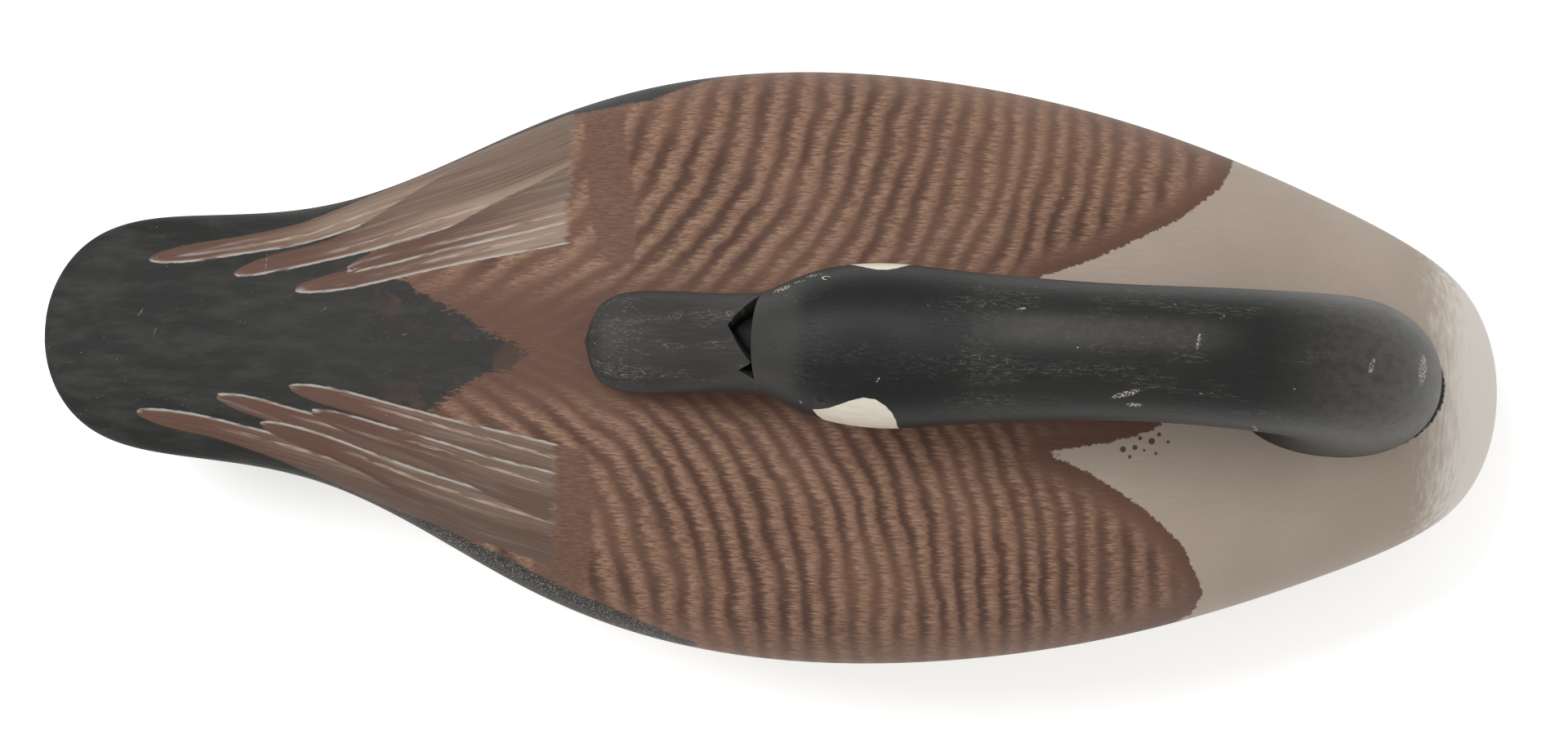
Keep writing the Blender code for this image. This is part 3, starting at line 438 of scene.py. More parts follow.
class Graph:
    def __init__(self, name):
        self.material = bpy.data.materials.new(name)
        self.material.use_nodes = True
        self.tree = self.material.node_tree
        self.shader = self.tree.nodes["Principled BSDF"]

    def node(self, kind, **settings):
        made = self.tree.nodes.new("ShaderNode" + kind)
        for key, value in settings.items():
            setattr(made, key, value)
        return made

    def feed(self, socket, value):
        if isinstance(value, bpy.types.NodeSocket):
            self.tree.links.new(value, socket)
        else:
            socket.default_value = value

    def math(self, operation, a, b=0.0, c=0.0):
        made = self.node("Math", operation=operation)
        for socket, value in zip(made.inputs, (a, b, c)):
            self.feed(socket, value)
        return made.outputs[0]

    def span(self, value, low, high, toLow=0.0, toHigh=1.0):
        # rises smoothly from toLow to toHigh between low and high
        made = self.node("MapRange", interpolation_type="SMOOTHSTEP")
        for socket, given in zip(made.inputs, (value, low, high, toLow, toHigh)):
            self.feed(socket, given)
        return made.outputs[0]

    def fall(self, value, low, high):
        return self.span(value, low, high, 1.0, 0.0)

    def swing(self, pattern, amount):
        # a pattern as a push up and down
        return self.times(self.math("SUBTRACT", pattern, .5), amount)

    def nudge(self, value, pattern, amount):
        return self.math("ADD", value, self.swing(pattern, amount))

    def away(self, value):
        return self.math("ABSOLUTE", value)

    def times(self, *factors):
        product = factors[0]
        for factor in factors[1:]:
            product = self.math("MULTIPLY", product, factor)
        return product

    def blend(self, share, a, b):
        made = self.node("Mix", data_type="RGBA")
        self.feed(made.inputs["Factor"], share)
        self.feed(made.inputs[6], a)
        self.feed(made.inputs[7], b)
        return made.outputs[2]

    def field(self, name, output="Fac"):
        return self.node("Attribute", attribute_name=name).outputs[output]

    def place(self):
        return self.node("TexCoord").outputs["Object"]

    def stretched(self, vector, scale, turn=(0, 0, 0)):
        made = self.node("Mapping")
        self.feed(made.inputs["Vector"], vector)
        made.inputs["Scale"].default_value = scale
        made.inputs["Rotation"].default_value = [math.radians(t) for t in turn]
        return made.outputs[0]

    def noise(self, vector, scale, detail=3.0, rough=.5, warp=0.0):
        made = self.node("TexNoise")
        self.feed(made.inputs["Vector"], vector)
        for key, value in (("Scale", scale), ("Detail", detail), ("Roughness", rough), ("Distortion", warp)):
            self.feed(made.inputs[key], value)
        return made.outputs["Fac"]

    def streaks(self, vector, scale, *settings, turn=(0, 0, 0)):
        # noise drawn out along an axis: scale has a number for each axis
        return self.noise(self.stretched(vector, scale, turn), 1, *settings)

    def cracks(self, vector, scale, thin):
        # 1 on the lines between the cells of a Voronoi pattern
        made = self.node("TexVoronoi", feature="DISTANCE_TO_EDGE")
        self.feed(made.inputs["Vector"], vector)
        self.feed(made.inputs["Scale"], scale)
        return self.fall(made.outputs["Distance"], 0.0, thin)

    def specks(self, vector, scale, size):
        # 1 in small round dots, one in each Voronoi cell
        made = self.node("TexVoronoi", feature="F1")
        self.feed(made.inputs["Vector"], vector)
        self.feed(made.inputs["Scale"], scale)
        return self.fall(made.outputs["Distance"], size * .5, size)

    def split(self, vector):
        made = self.node("SeparateXYZ")
        self.feed(made.inputs[0], vector)
        return made.outputs

    def join(self, x, y, z=0.0):
        made = self.node("CombineXYZ")
        for socket, value in zip(made.inputs, (x, y, z)):
            self.feed(socket, value)
        return made.outputs[0]

    def mark(self, x, y, length, width, degrees):
        # a broken scratch, seen from above: an ellipse round (x, y) eaten away by fine noise
        across = self.node("Mapping", vector_type="TEXTURE")
        self.feed(across.inputs["Vector"], self.place())
        across.inputs["Location"].default_value = (x * mm, y * mm, 0)
        across.inputs["Rotation"].default_value = (0, 0, math.radians(degrees))
        across.inputs["Scale"].default_value = (length * mm / 2, width * mm / 2, 1e6)
        far = self.node("VectorMath", operation="LENGTH")
        self.feed(far.inputs[0], across.outputs[0])
        inside = self.fall(far.outputs["Value"], .7, 1.0)
        return self.times(inside, self.span(self.noise(self.place(), 1500, 2), .50, .57))

    def marks(self, tone, colour, strength, places):
        for place in places:
            tone = self.blend(self.times(self.mark(*place), strength), tone, colour)
        return tone

    def apart(self, vector, point):
        # how far a place is from a point given in metres
        made = self.node("VectorMath", operation="DISTANCE")
        self.feed(made.inputs[0], vector)
        made.inputs[1].default_value = point
        return made.outputs["Value"]

    def finish(self, colour, rough, height=None, strength=.3, depth=.0006, metal=0.0, specular=.5):
        self.feed(self.shader.inputs["Base Color"], colour)
        self.feed(self.shader.inputs["Roughness"], rough)
        self.shader.inputs["Metallic"].default_value = metal
        self.shader.inputs["Specular IOR Level"].default_value = specular
        if height is not None:
            bump = self.node("Bump")
            bump.inputs["Strength"].default_value = strength
            bump.inputs["Distance"].default_value = depth
            self.feed(bump.inputs["Height"], height)
            self.feed(self.shader.inputs["Normal"], bump.outputs[0])
        return self.material


bodyColours = {
    "tan": srgb(172, 157, 144), "tanLow": srgb(162, 147, 134), "breast": srgb(228, 222, 213),
    "brown": srgb(106, 76, 61), "brownWarm": srgb(117, 85, 68), "brownLight": srgb(147, 117, 98),
    "brownDark": srgb(66, 44, 36), "brownEdge": srgb(88, 60, 49), "strand": srgb(164, 137, 117),
    "covert": srgb(96, 69, 56), "black": srgb(32, 32, 31), "rust": srgb(82, 58, 48), "grey": srgb(54, 53, 51),
    "featherTip": srgb(94, 68, 58), "featherRootLeft": srgb(144, 124, 108),
    "featherRootRight": srgb(114, 95, 82), "featherDark": srgb(72, 52, 44),
    "featherEdge": srgb(170, 165, 158), "featherShaft": srgb(168, 150, 134),
    "undertail": srgb(206, 199, 186),
}


def bodyPaint():
    g = Graph("bodyPaint")
    c = bodyColours
    place = g.place()
    px, py, pz = g.split(place)
    grain = g.streaks(place, (60, 900, 900), 4, .6)  # fine brush strokes along the body
    soft = g.noise(place, 14, 3)

    # tan breast and sides, paler at the very front where the brush was nearly dry
    tan = g.blend(g.span(g.math("ADD", soft, g.times(grain, .5)), .5, 1.0), c["tanLow"], c["tan"])
    dry = g.streaks(place, (500, 90, 300), 4, .6)
    front = g.nudge(px, dry, .03)
    tan = g.blend(g.times(g.span(front, .277, .304), .85), tan, c["breast"])
    low = g.span(pz, .050, .018)
    tan = g.blend(g.times(low, .7), tan, c["breast"])

    # combed brown: each bar is dark on its hind side and runs out lighter, its edge broken into hairs
    hairs = g.streaks(place, (190, 1500, 700), 3, .6)
    hairsWide = g.streaks(place, (90, 520, 300), 3, .6)
    wobble = g.noise(place, 38, 2)
    phase = g.field("bars")
    phase = g.nudge(phase, wobble, .8)
    phase = g.nudge(phase, hairs, .55)
    phase = g.nudge(phase, hairsWide, .4)
    share = g.math("FRACT", phase)
    rise = g.span(share, .08, .44)
    fall = g.fall(share, .76, .98)
    bar = g.math("SUBTRACT", 1.0, g.times(rise, fall))
    patchy = g.span(g.noise(place, 17, 2), .36, .62)  # the comb bit deeper in some places
    bar = g.times(bar, g.math("ADD", .40, g.times(patchy, .44)))
    light = g.times(g.span(share, .26, .48), g.fall(share, .60, .86), g.span(hairs, .38, .62))
    frontEdge = g.field("brown")
    fade = g.times(g.span(frontEdge, 3.0, 15.0), g.span(g.field("outer"), .87, .97, 1.0, .45))
    fade = g.times(fade, g.span(g.away(py), .010, .042, .35, 1.0))
    bar = g.times(bar, fade)
    warm = g.blend(g.span(soft, .35, .65), c["brownWarm"], c["brown"])
    warm = g.blend(g.times(g.span(hairs, .35, .7), .4), warm, c["brownLight"])
    warm = g.blend(g.times(light, fade, .8), warm, c["brownLight"])
    warm = g.blend(bar, warm, c["brownDark"])
    strands = g.streaks(place, (150, 2300, 900), 2, .6, turn=(0, 0, 8))
    darkStrands = g.times(g.fall(strands, .30, .40), fade)
    strands = g.times(g.span(strands, .58, .68), g.times(light, fade))
    warm = g.blend(g.times(darkStrands, .4), warm, c["brownDark"])
    warm = g.blend(g.times(strands, .6), warm, c["strand"])
    # painted shade: the brown darkens along the middle of the back, under the neck
    middle = g.span(g.away(py), .012, .036, .8, 0.0)
    warm = g.blend(middle, warm, c["brownEdge"])
    warm = g.blend(g.times(g.fall(frontEdge, 2.0, 12.0), .75), warm, c["brownEdge"])
    fine = g.streaks(place, (120, 2600, 900), 2, .6)
    covert = g.blend(g.times(g.span(fine, .4, .65), .3), c["covert"], c["brownLight"])
    covertEdge = g.nudge(g.field("coverts"), hairsWide, 7)
    warm = g.blend(g.span(covertEdge, -1.5, 1.5), warm, covert)

    # a ragged little-toothed front edge
    teeth = g.streaks(place, (420, 420, 200), 2, .7)
    brownEdge = g.nudge(frontEdge, teeth, 3.6)
    isBrown = g.span(brownEdge, -.2, .5)
    for x, y, r in paintPlan["spots"]:
        spot = g.fall(g.apart(g.join(px, py), (x * mm, y * mm, 0)), (r - .2) * mm, (r + .2) * mm)
        isBrown = g.math("MAXIMUM", isBrown, spot)
    colour = g.blend(isBrown, tan, warm)

    # black rump, tail and flank bands, dragged on with a half-dry brush
    strokes = g.streaks(place, (260, 900, 500), 4, .65, turn=(0, 0, 24))
    clumps = g.noise(place, 60, 3, .6)
    ragged = g.nudge(g.swing(strokes, 15), clumps, 13)
    onBack = g.span(g.away(py), .040, .060, 1.0, .22)
    blackEdge = g.math("ADD", g.field("black"), g.times(ragged, onBack))
    isBlack = g.span(blackEdge, -.6, .8)
    dull = g.streaks(place, (40, 160, 160), 4, .6, turn=(0, 0, 12))
    black = g.blend(g.times(g.span(dull, .38, .72), .8), c["black"], c["grey"])
    black = g.blend(g.times(g.span(px, -.260, -.180), .35), black, c["grey"])
    worn = g.times(g.span(g.nudge(clumps, strokes, .4), .50, .64), g.fall(blackEdge, 2.0, 26.0),
                   g.fall(g.away(py), .030, .050))
    black = g.blend(g.times(worn, .65), black, c["rust"])
    dots = g.times(g.specks(place, 420, .11), g.span(g.noise(place, 55, 2), .50, .60))
    black = g.blend(g.times(dots, .35), black, c["tan"])
    nearEdge = g.fall(g.away(g.math("SUBTRACT", blackEdge, 3.0)), 0.0, 7.0)
    speckled = g.times(g.span(g.noise(place, 1400, 2), .56, .66), nearEdge, g.span(py, -.060, -.085))
    black = g.blend(g.times(speckled, .7), black, c["tan"])
    colour = g.blend(isBlack, colour, black)
    under = g.times(g.span(pz, .052, .046), g.fall(px, -.12, -.06))
    colour = g.blend(under, colour, c["undertail"])

    # long wing feathers: brown at the tip, greyer towards the coverts, a pale inner edge and shaft
    covered = g.fall(g.nudge(px, hairsWide, .010), -.094, -.090)
    for n in range(len(paintPlan["feathers"])):
        onLeft = n < paintPlan["leftFeathers"]
        along, aside, inside = g.split(g.field(f"feather{n}", "Vector"))
        streak = g.noise(g.join(g.times(along, .012), g.times(aside, 1.5), n * 7.3), 1, 4, .6)
        wide = g.noise(g.join(g.times(along, .02), g.times(aside, .35), n * 3.1 + 20), 1, 3, .6)
        shade = g.span(g.nudge(along, wide, 80), 20.0, 110.0)
        tone = g.blend(shade, c["featherTip"], c["featherRootLeft" if onLeft else "featherRootRight"])
        tone = g.blend(g.times(g.span(streak, .45, .7), .55), tone, c["featherDark"])
        tone = g.blend(g.times(g.span(wide, .55, .75), .5 if onLeft else .3), tone, c["featherEdge"])
        shaded = g.span(aside, -6.5, -1.5, .5, 0.0)  # the outer half lies in the shade of the next
        tone = g.blend(shaded, tone, c["featherDark"])
        dryEdge = g.noise(g.join(g.times(along, .09), g.times(aside, .9), n * 5.7), 1, 3)
        rim = g.times(g.fall(inside, .5, 1.5), g.span(aside, -.8, .8), g.span(dryEdge, .30, .52))
        tone = g.blend(g.times(rim, .9), tone, c["featherEdge"])
        shaft = g.fall(g.away(g.math("SUBTRACT", aside, .6)), .35, .95)
        shaft = g.times(shaft, g.span(along, 30.0, 60.0), g.span(dryEdge, .40, .58))
        tone = g.blend(g.times(shaft, .8), tone, c["featherShaft"])
        jag = g.swing(g.noise(g.join(g.times(along, .25), aside, n), 1, 2), .9)
        mask = g.times(g.span(g.math("ADD", inside, jag), -.2, .35), covered)
        colour = g.blend(mask, colour, tone)

    # the neck's black ran a little onto the breast
    rim = g.nudge(g.field("neckRim"), teeth, 2.4)
    colour = g.blend(g.fall(rim, -.6, .4), colour, c["black"])

    # scratches and small nicks
    colour = g.marks(colour, c["featherEdge"], .6, paintPlan["scratches"])
    nicks = g.times(g.specks(g.stretched(place, (1, 2.6, 1)), 95, .028),
                    g.span(g.noise(place, 9, 1), .5, .62))
    colour = g.blend(g.times(nicks, .8), colour, c["breast"])
    height = g.math("ADD", g.times(bar, g.times(isBrown, -.6)), g.times(grain, .35))
    height = g.math("ADD", height, g.times(soft, .5))
    rough = g.math("ADD", .50, g.times(grain, .2))
    return g.finish(colour, rough, height, .3, .0009, specular=.22)


def blackPaint(name, colours, crazed, seed):
    # crazed black oil paint: fine pale cracks that run with the neck, in patches, and small chips.
    # The "strand" attribute of each piece is (millimetres along, millimetres round, how far on top)
    g = Graph(name)
    strand = g.field("strand", "Vector")
    along, around, top = g.split(strand)
    flat = g.join(along, around, seed)
    low = g.streaks(flat, (.018, .030, 1), 3, .6)
    brush = g.streaks(flat, (.05, .9, 1), 4, .6)
    tone = g.blend(g.span(low, .35, .7), colours["dark"], colours["mid"])
    tone = g.blend(g.times(g.span(brush, .45, .75), .35), tone, colours["light"])
    warped = g.node("VectorMath", operation="ADD")
    g.feed(warped.inputs[0], flat)
    wave = g.streaks(flat, (.25, .5, 1), 3)
    g.feed(warped.inputs[1], g.join(wave, g.swing(wave, 3.0)))
    lines = g.cracks(g.stretched(warped.outputs[0], (.09, .75, 1)), .8, .045)
    fineLines = g.cracks(g.stretched(warped.outputs[0], (.14, 1.2, 1)), 1.1, .05)
    patches = g.span(g.streaks(flat, (.018, .07, 1), 3, .6), .47, .60)
    broken = g.span(g.streaks(flat, (.22, .9, 1), 2), .40, .58)
    crack = g.times(g.math("MAXIMUM", lines, fineLines), patches, broken, g.span(top, .15, .75))
    chips = g.specks(g.stretched(flat, (.6, 1.4, 1)), .16, .055)
    chips = g.times(chips, g.span(g.streaks(flat, (.03, .05, 1), 1), .52, .60))
    dust = g.times(g.specks(g.stretched(flat, (1, 1.5, 1)), .55, .05), g.span(low, .5, .6))
    tone = g.blend(g.times(crack, crazed), tone, colours["crack"])
    tone = g.blend(g.times(dust, .45), tone, colours["crack"])
    tone = g.blend(g.times(chips, .9), tone, colours["chip"])
    height = g.math("ADD", g.times(crack, -.8), g.times(brush, .35))
    height = g.math("ADD", height, g.times(g.streaks(flat, (.5, .9, 1), 3), .5))
    rough = g.math("ADD", .36, g.times(low, .22))
    return g, tone, rough, height


# the last colour here is a painted highlight for the top of the neck
neckColours = {"dark": srgb(20, 20, 19), "mid": srgb(28, 27, 25), "light": srgb(42, 41, 38),
               "crack": srgb(112, 109, 101), "chip": srgb(206, 198, 182),
              "dust": srgb(70, 68, 64), "paintedSheen": srgb(72, 70, 66)}
# crown is a painted shade for the top of the head, and the forehead colour a painted light
headColours = dict(neckColours, cheek=srgb(218, 209, 193), cheekShade=srgb(190, 180, 163),
                   crown=srgb(6, 6, 6), litForehead=srgb(50, 49, 46), ring=srgb(190, 184, 172))
# notch is near black: a painted shadow for the floors of the bill's notches
billColours = dict(neckColours, dark=srgb(34, 33, 31), mid=srgb(46, 44, 41), light=srgb(66, 63, 58),
                   crack=srgb(140, 134, 124), notch=srgb(3, 3, 3))
eyeColours = {"puttyDark": srgb(22, 21, 20), "puttyLight": srgb(34, 33, 31),
              "glassDark": srgb(18, 17, 16), "glassLight": srgb(30, 28, 26)}

# flecks worn through the black on top: (x, y, length, width, degrees from the x axis)
neckWear = [(172, 3, 8, 1.7, 80), (246, -1, 8, 2.6, 75), (271, 1, 15, 5.0, 85), (144, -19, 14, 2.6, 15),
            (148, -23, 8, 1.6, 0), (203, -31, 14, 1.2, 150), (100, 14, 5, 1.2, 10), (182, 14, 3, 1.0, 40)]
headWear = [(15, 27, 8, 1.6, 12), (2, 21, 9, 2.2, 20), (9, 24, 6, 1.0, 15), (43, -17, 3, 1.0, 60),
            (12, -26, 3, .8, 150)]


def neckPaint():
    g, tone, rough, height = blackPaint("neckPaint", neckColours, .5, 3.0)
    along, around = g.split(g.field("strand", "Vector"))[:2]
    px = g.split(g.place())[0]
    wear = g.noise(g.join(g.times(along, .3), g.times(around, .25), 9), 1, 3)
    # greyer at the foot, where the neck turns down to the breast, and a painted highlight, a pale band, along
    # the top
    foot = g.times(g.fall(g.math("ADD", along, g.times(wear, 5)), 8.5, 13.5), g.span(wear, .45, .6))
    tone = g.blend(g.times(foot, .5), tone, neckColours["light"])
    dusty = g.times(g.span(px, .196, .250), g.span(wear, .25, .70, .45, 1.0))
    tone = g.blend(dusty, tone, neckColours["dust"])
    # painted highlight: a pale band along the neck's top ridge, where a lamp's reflection would lie, broken up
    # by the wear noise
    paintedSheen = g.times(g.fall(g.away(g.math("ADD", around, 6.0)), 2.0, 10.0), g.span(wear, .2, .7, .5, 1.0))
    lengthwise = g.times(g.span(px, .070, .110), g.fall(px, .165, .200))
    tone = g.blend(g.times(paintedSheen, lengthwise, .6), tone, neckColours["paintedSheen"])
    tone = g.marks(tone, neckColours["chip"], .65, neckWear)
    return g.finish(tone, rough, height, .35, .0005, specular=.32)


def headPaint():
    g, tone, rough, height = blackPaint("headPaint", headColours, .5, 3.0)
    px, py = g.split(g.place())[:2]
    edge = g.nudge(g.field("cheek"), g.noise(g.place(), 260, 2), .7)
    paper = g.streaks(g.place(), (90, 300, 300), 3)
    cheek = g.blend(g.times(g.span(paper, .4, .7), .35), headColours["cheek"], headColours["cheekShade"])
    tone = g.blend(g.span(edge, -.15, .25), tone, cheek)
    # painted shade and painted light: the crown is painted blackest, as if in shade, and the forehead above the
    # bill greyer, as if lit
    crown = g.times(g.span(px, .001, .016), g.fall(px, .058, .095))
    litForehead = g.times(g.fall(px, .004, .014), g.span(g.away(py), .014, .026, 1.0, .2))
    cheekAway = g.fall(edge, -.15, .25)
    tone = g.blend(g.times(crown, .75, cheekAway), tone, headColours["crown"])
    tone = g.blend(g.times(litForehead, .75, cheekAway), tone, headColours["litForehead"])
    tone = g.marks(tone, headColours["chip"], .65, headWear)
    return g.finish(tone, rough, height, .3, .0005, specular=.3)


def billPaint():
    g, tone, rough, height = blackPaint("billPaint", billColours, .6, 23.0)
    along, around = g.split(g.field("strand", "Vector"))[:2]
    scuff = g.noise(g.join(g.times(along, .35), g.times(around, .8), 4), 1, 4, .65)
    worn = g.times(g.span(along, 40.0, 62.0), g.span(scuff, .58, .70))
    tone = g.blend(g.times(worn, .5), tone, billColours["crack"])
    # painted shadow: the notch floors and the tenon's end are painted near black, as the shade deep in the cuts
    tone = g.blend(g.span(g.field("notch"), .2, .8), tone, billColours["notch"])
    return g.finish(tone, rough, height, .35, .0005, specular=.3)


def plainWood(name, colour, dark):
    g = Graph(name)
    rings = g.streaks(g.place(), (160, 160, 20), 4, .6, 1.2)
    tone = g.blend(g.span(rings, .35, .7), colour, dark)
    return g.finish(tone, .62, rings, .2, .0003)


def oldMetal(name, colour, tarnish, rough, metal):
    g = Graph(name)
    stain = g.noise(g.place(), 300, 4, .6)
    tone = g.blend(g.span(stain, .42, .68), colour, tarnish)
    return g.finish(tone, g.span(stain, .3, .7, rough, rough + .25), stain, .25, .0003, metal=metal)


def puttyPaint():
    g = Graph("puttyPaint")
    lumps = g.noise(g.place(), 420, 3)
    tone = g.blend(g.span(lumps, .4, .7), eyeColours["puttyDark"], eyeColours["puttyLight"])
    return g.finish(tone, .48, lumps, .25, .0003, specular=.3)


def eyeGlass(name, reflectionAt=None):
    # the glass was painted over with the head: on the bird's left a small pale ring is painted on, a painted
    # reflection on the glass
    g = Graph(name)
    iris = g.noise(g.place(), 700, 2)
    tone = g.blend(g.span(iris, .4, .7), eyeColours["glassDark"], eyeColours["glassLight"])
    if reflectionAt:
        x, y = reflectionAt
        flatten, radius = 2.4, .0017  # from above the ring is an ellipse, narrower across the bird
        away = g.apart(g.stretched(g.place(), (1, flatten, 0)), (x * mm, y * flatten * mm, 0))
        rim = g.fall(g.away(g.math("SUBTRACT", away, radius)), .0002, .0005)
        # painted reflection: the pale ring on the left eye
        tone = g.blend(g.times(rim, .8), tone, headColours["ring"])
    return g.finish(tone, .4, specular=.35)


print("body: working out the painted shells")
seamTop = body["seam"] + body["seamGap"]
seamBottom = body["seam"] - body["seamGap"]
bodyMaterial = bodyPaint()


def loopedShell(name, xs, angles, level, bowl, nodes, slot):
    # one closed skin: over the outside at the given angles, across the rim, round the bowl inside
    outside = bodySection(xs[:, None], angles)
    rimHeight = level(xs)
    for column in (0, -1):
        outside[:, column, 2] = rimHeight
    reach, depth = bowl(xs)
    turn = np.linspace(math.pi, 0, body["innerColumns"])
    inY = np.cos(turn)[None] * reach[:, None]
    inZ = rimHeight[:, None] + np.sin(turn)[None] * depth[:, None]
    inside = np.stack([xs[:, None] + 0 * inY, inY, inZ], -1)
    justUnder = 1e-6
    closing = np.abs(angles[:, 0]) > math.pi / 2 - justUnder  # here the section shuts, and there is no rim
    outside[closing, 0, 1] = outside[closing, -1, 1] = 0
    grid = np.concatenate([outside, inside], 1)
    for row in (0, -1):  # each end shuts in a point
        grid[row] = grid[row].mean(0)
    return makePiece(name, meshFromGrid(name, grid, paintFields(grid)), bodyMaterial, "decoy", slot, *nodes)


half = body["length"] / 2
xs = stationsAlong(-half, half, body["stations"])
lowest = seamAngle(xs, seamTop)
spread = np.linspace(0, 1, body["columns"])
topAngles = lowest[:, None] + (math.pi - 2 * lowest[:, None]) * spread[None]


def bowlAbove(x):
    # the hollow's half width and its height above the rim
    reach, rise, fall = hollow(x)
    return reach, rise - body["seamGap"] * (rise > 1)


loopedShell("paintedBack", xs, topAngles, lambda x: np.maximum(belly(x), seamTop),
            bowlAbove, ["back_shell"], "back_paint")

# the hull runs only where the belly is below the seam
fineCount = 20001
dense = np.linspace(-half, half, fineCount)
deep = dense[belly(dense) < seamBottom]
xs = stationsAlong(deep[0], deep[-1], body["hullStations"])
lowest = seamAngle(xs, seamBottom)
spread = np.linspace(0, 1, body["hullColumns"])
hullAngles = lowest[:, None] - (math.pi + 2 * lowest[:, None]) * spread[None]
hullPiece = loopedShell("paintedHull", xs, hullAngles, lambda x: np.full(x.shape, seamBottom),
                        lambda x: (hollow(x)[0], -hollow(x)[2]), ["hull_shell"], "hull_paint")


def cutPocket(piece, node, play):
    # lets a box the size of a CAD node, with a little play, into a piece
    low, high = (Vector(corner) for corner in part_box(node))
    size = high - low + Vector((2 * play, 2 * play, 0)) * mm
    top = high.z + play * mm
    middle = Matrix.Translation(((low.x + high.x) / 2, (low.y + high.y) / 2, 0))
    cutter = bmesh.new()
    bmesh.ops.create_cube(cutter, size=1, matrix=middle @ Matrix.Diagonal((size.x, size.y, 2 * top, 1)))
    mesh = bpy.data.meshes.new("pocket")
    cutter.to_mesh(mesh)
    cutter.free()
    tool = bpy.data.objects.new("pocket", mesh)
    bpy.context.scene.collection.objects.link(tool)
    cut = piece.modifiers.new("pocket", "BOOLEAN")
    cut.object, cut.operation, cut.solver = tool, "DIFFERENCE", "EXACT"
    result = bpy.data.meshes.new_from_object(piece.evaluated_get(bpy.context.evaluated_depsgraph_get()))
    piece.modifiers.clear()
    piece.data = result
    bpy.data.objects.remove(tool)
    shadeSkin(result)


cutPocket(hullPiece, "ballast_weight", body["pocketPlay"])

# the caulk shows as a hairline between the halves
cornerY = np.array([1, -1, -1, 1])
cornerZ = np.array([1, 1, -1, -1]) * body["caulkHalf"]
caulk = np.broadcast_arrays(xs[:, None], seamReach(xs)[:, None] * cornerY, body["seam"] + cornerZ)
caulk = np.stack(caulk, -1)
caulk[0, :, 2] = caulk[-1, :, 2] = body["seam"]
makePiece("seamCaulk", meshFromGrid("seamCaulk", caulk, paintFields(caulk)),
          bodyMaterial, "decoy", "seam_filler", "seam_caulk")

print("neck, head and bill: one bent line in three pieces")


def pathLength(station):
    # millimetres along the line from the seat, by adding up short steps
    fineCount = 3000
    fine = np.linspace(0, neckLine["tip"], fineCount)
    steps = np.hypot(np.diff(neckX(fine)), np.diff(neckZ(fine)))
    return np.interp(station, fine, np.concatenate([[0], np.cumsum(steps)]))


def strandField(station, roll):
    # (millimetres along, millimetres round from the top, how far on top) for the black paint
    around = (np.degrees(roll) - 90) * neckLine["roundMm"]
    top = np.clip(np.sin(roll), 0, 1)
    return np.stack([pathLength(station) + 0 * roll, around + 0 * station, top + 0 * station], -1)


def roundEnd(at, roll, radius, depth):
    # the rows of a round hole let into the cut at a station, or of a tenon where depth is negative: the
    # middle of its end, the rim of its end and its rim in the cut
    turn = math.radians(float(neckHeading(at)))
    circle = np.stack([np.sin(roll) * math.sin(turn) * radius, np.cos(roll) * radius,
                       -np.sin(roll) * math.cos(turn) * radius], -1)
    centre = np.array([float(neckX(at)), 0, float(neckZ(at))])
    end = centre + np.array([math.cos(turn), 0, math.sin(turn)]) * depth
    return [end + 0 * circle, end + circle, centre + circle]


def necklike(low, high, rows, columns, endHole, startHole=None):
    # rows of sections from one station to another, shut at each end by a flat face, with a round hole
    # (radius, depth) at the end and where one is given at the start. Returns (grid, stations, rolls)
    roll = np.arange(columns) * 2 * math.pi / columns + math.pi / columns
    station = np.linspace(low, high, rows)
    first = roundEnd(low, roll, *startHole) if startHole else [neckSection(low, roll, 0.0)]
    radius, depth = endHole
    last = roundEnd(high, roll, radius, -depth)[::-1]
    grid = np.concatenate([first, neckSection(station[:, None], roll[None]), last])
    used = np.concatenate([np.full(len(first), low), station, np.full(len(last), high)])
    return grid, used[:, None], roll[None]


grid, station, roll = necklike(0, neckLine["nape"], neckLine["rows"], neckLine["columns"],
                               neckLine["dowelHole"])
makePiece("paintedNeck", meshFromGrid("paintedNeck", grid, {"strand": strandField(station, roll)}),
          neckPaint(), "decoy", "neck_paint", "neck")

headPlan = {
    # the outline of each cheek patch: (x, degrees above the level line)
    "rightCheek": [(19, 24), (24, 29), (29, 36), (34, 43), (40, 47.5), (45, 46.5), (49, 41), (52, 32),
                   (53, 22), (53, 8), (53, -20), (51, -55), (46, -92), (27, -92), (24, -60), (23, -20), (21, 8)],
    "leftCheek": [(29, 4), (31, 13), (34.5, 21), (38.5, 27), (43, 30.5), (47, 30.5), (51, 26.5), (54, 19.5),
                  (57, 5), (57, -20), (54, -55), (50, -92), (29, -92), (26, -60), (26, -20), (28, -6)],
    "degreesToMm": .56, "lowestDegrees": -80,
    "tenonHole": (7.3, 30.3),
    "rows": 150, "columns": 200,
}
grid, station, roll = necklike(neckLine["nape"], neckLine["brow"], headPlan["rows"], headPlan["columns"],
                               headPlan["tenonHole"], neckLine["dowelHole"])
level = np.maximum(np.degrees(np.arcsin(np.sin(roll))), headPlan["lowestDegrees"]) + 0 * station
onRight = np.cos(roll) + 0 * station < 0
toMm = headPlan["degreesToMm"]
alongX = neckX(station) + 0 * roll
patches = [polygonDistance([(x, a * toMm) for x, a in headPlan[side]], alongX, level * toMm)
           for side in ("rightCheek", "leftCheek")]
fields = {"strand": strandField(station, roll), "cheek": np.where(onRight, *patches)}
makePiece("paintedHead", meshFromGrid("paintedHead", grid, fields), headPaint(), "decoy", "head_paint",
          "head")

billPlan = {
    # V notches across the rear edge: (degrees from the bird's left over the top, millimetres long, half span)
    "notches": ((76, 12, 42), (127, 7, 11)),
    "deep": .66,  # the notches' floor, as a share of the section
    "tenon": (7, 30),  # radius and length
    "rows": 150, "columns": 220,
}


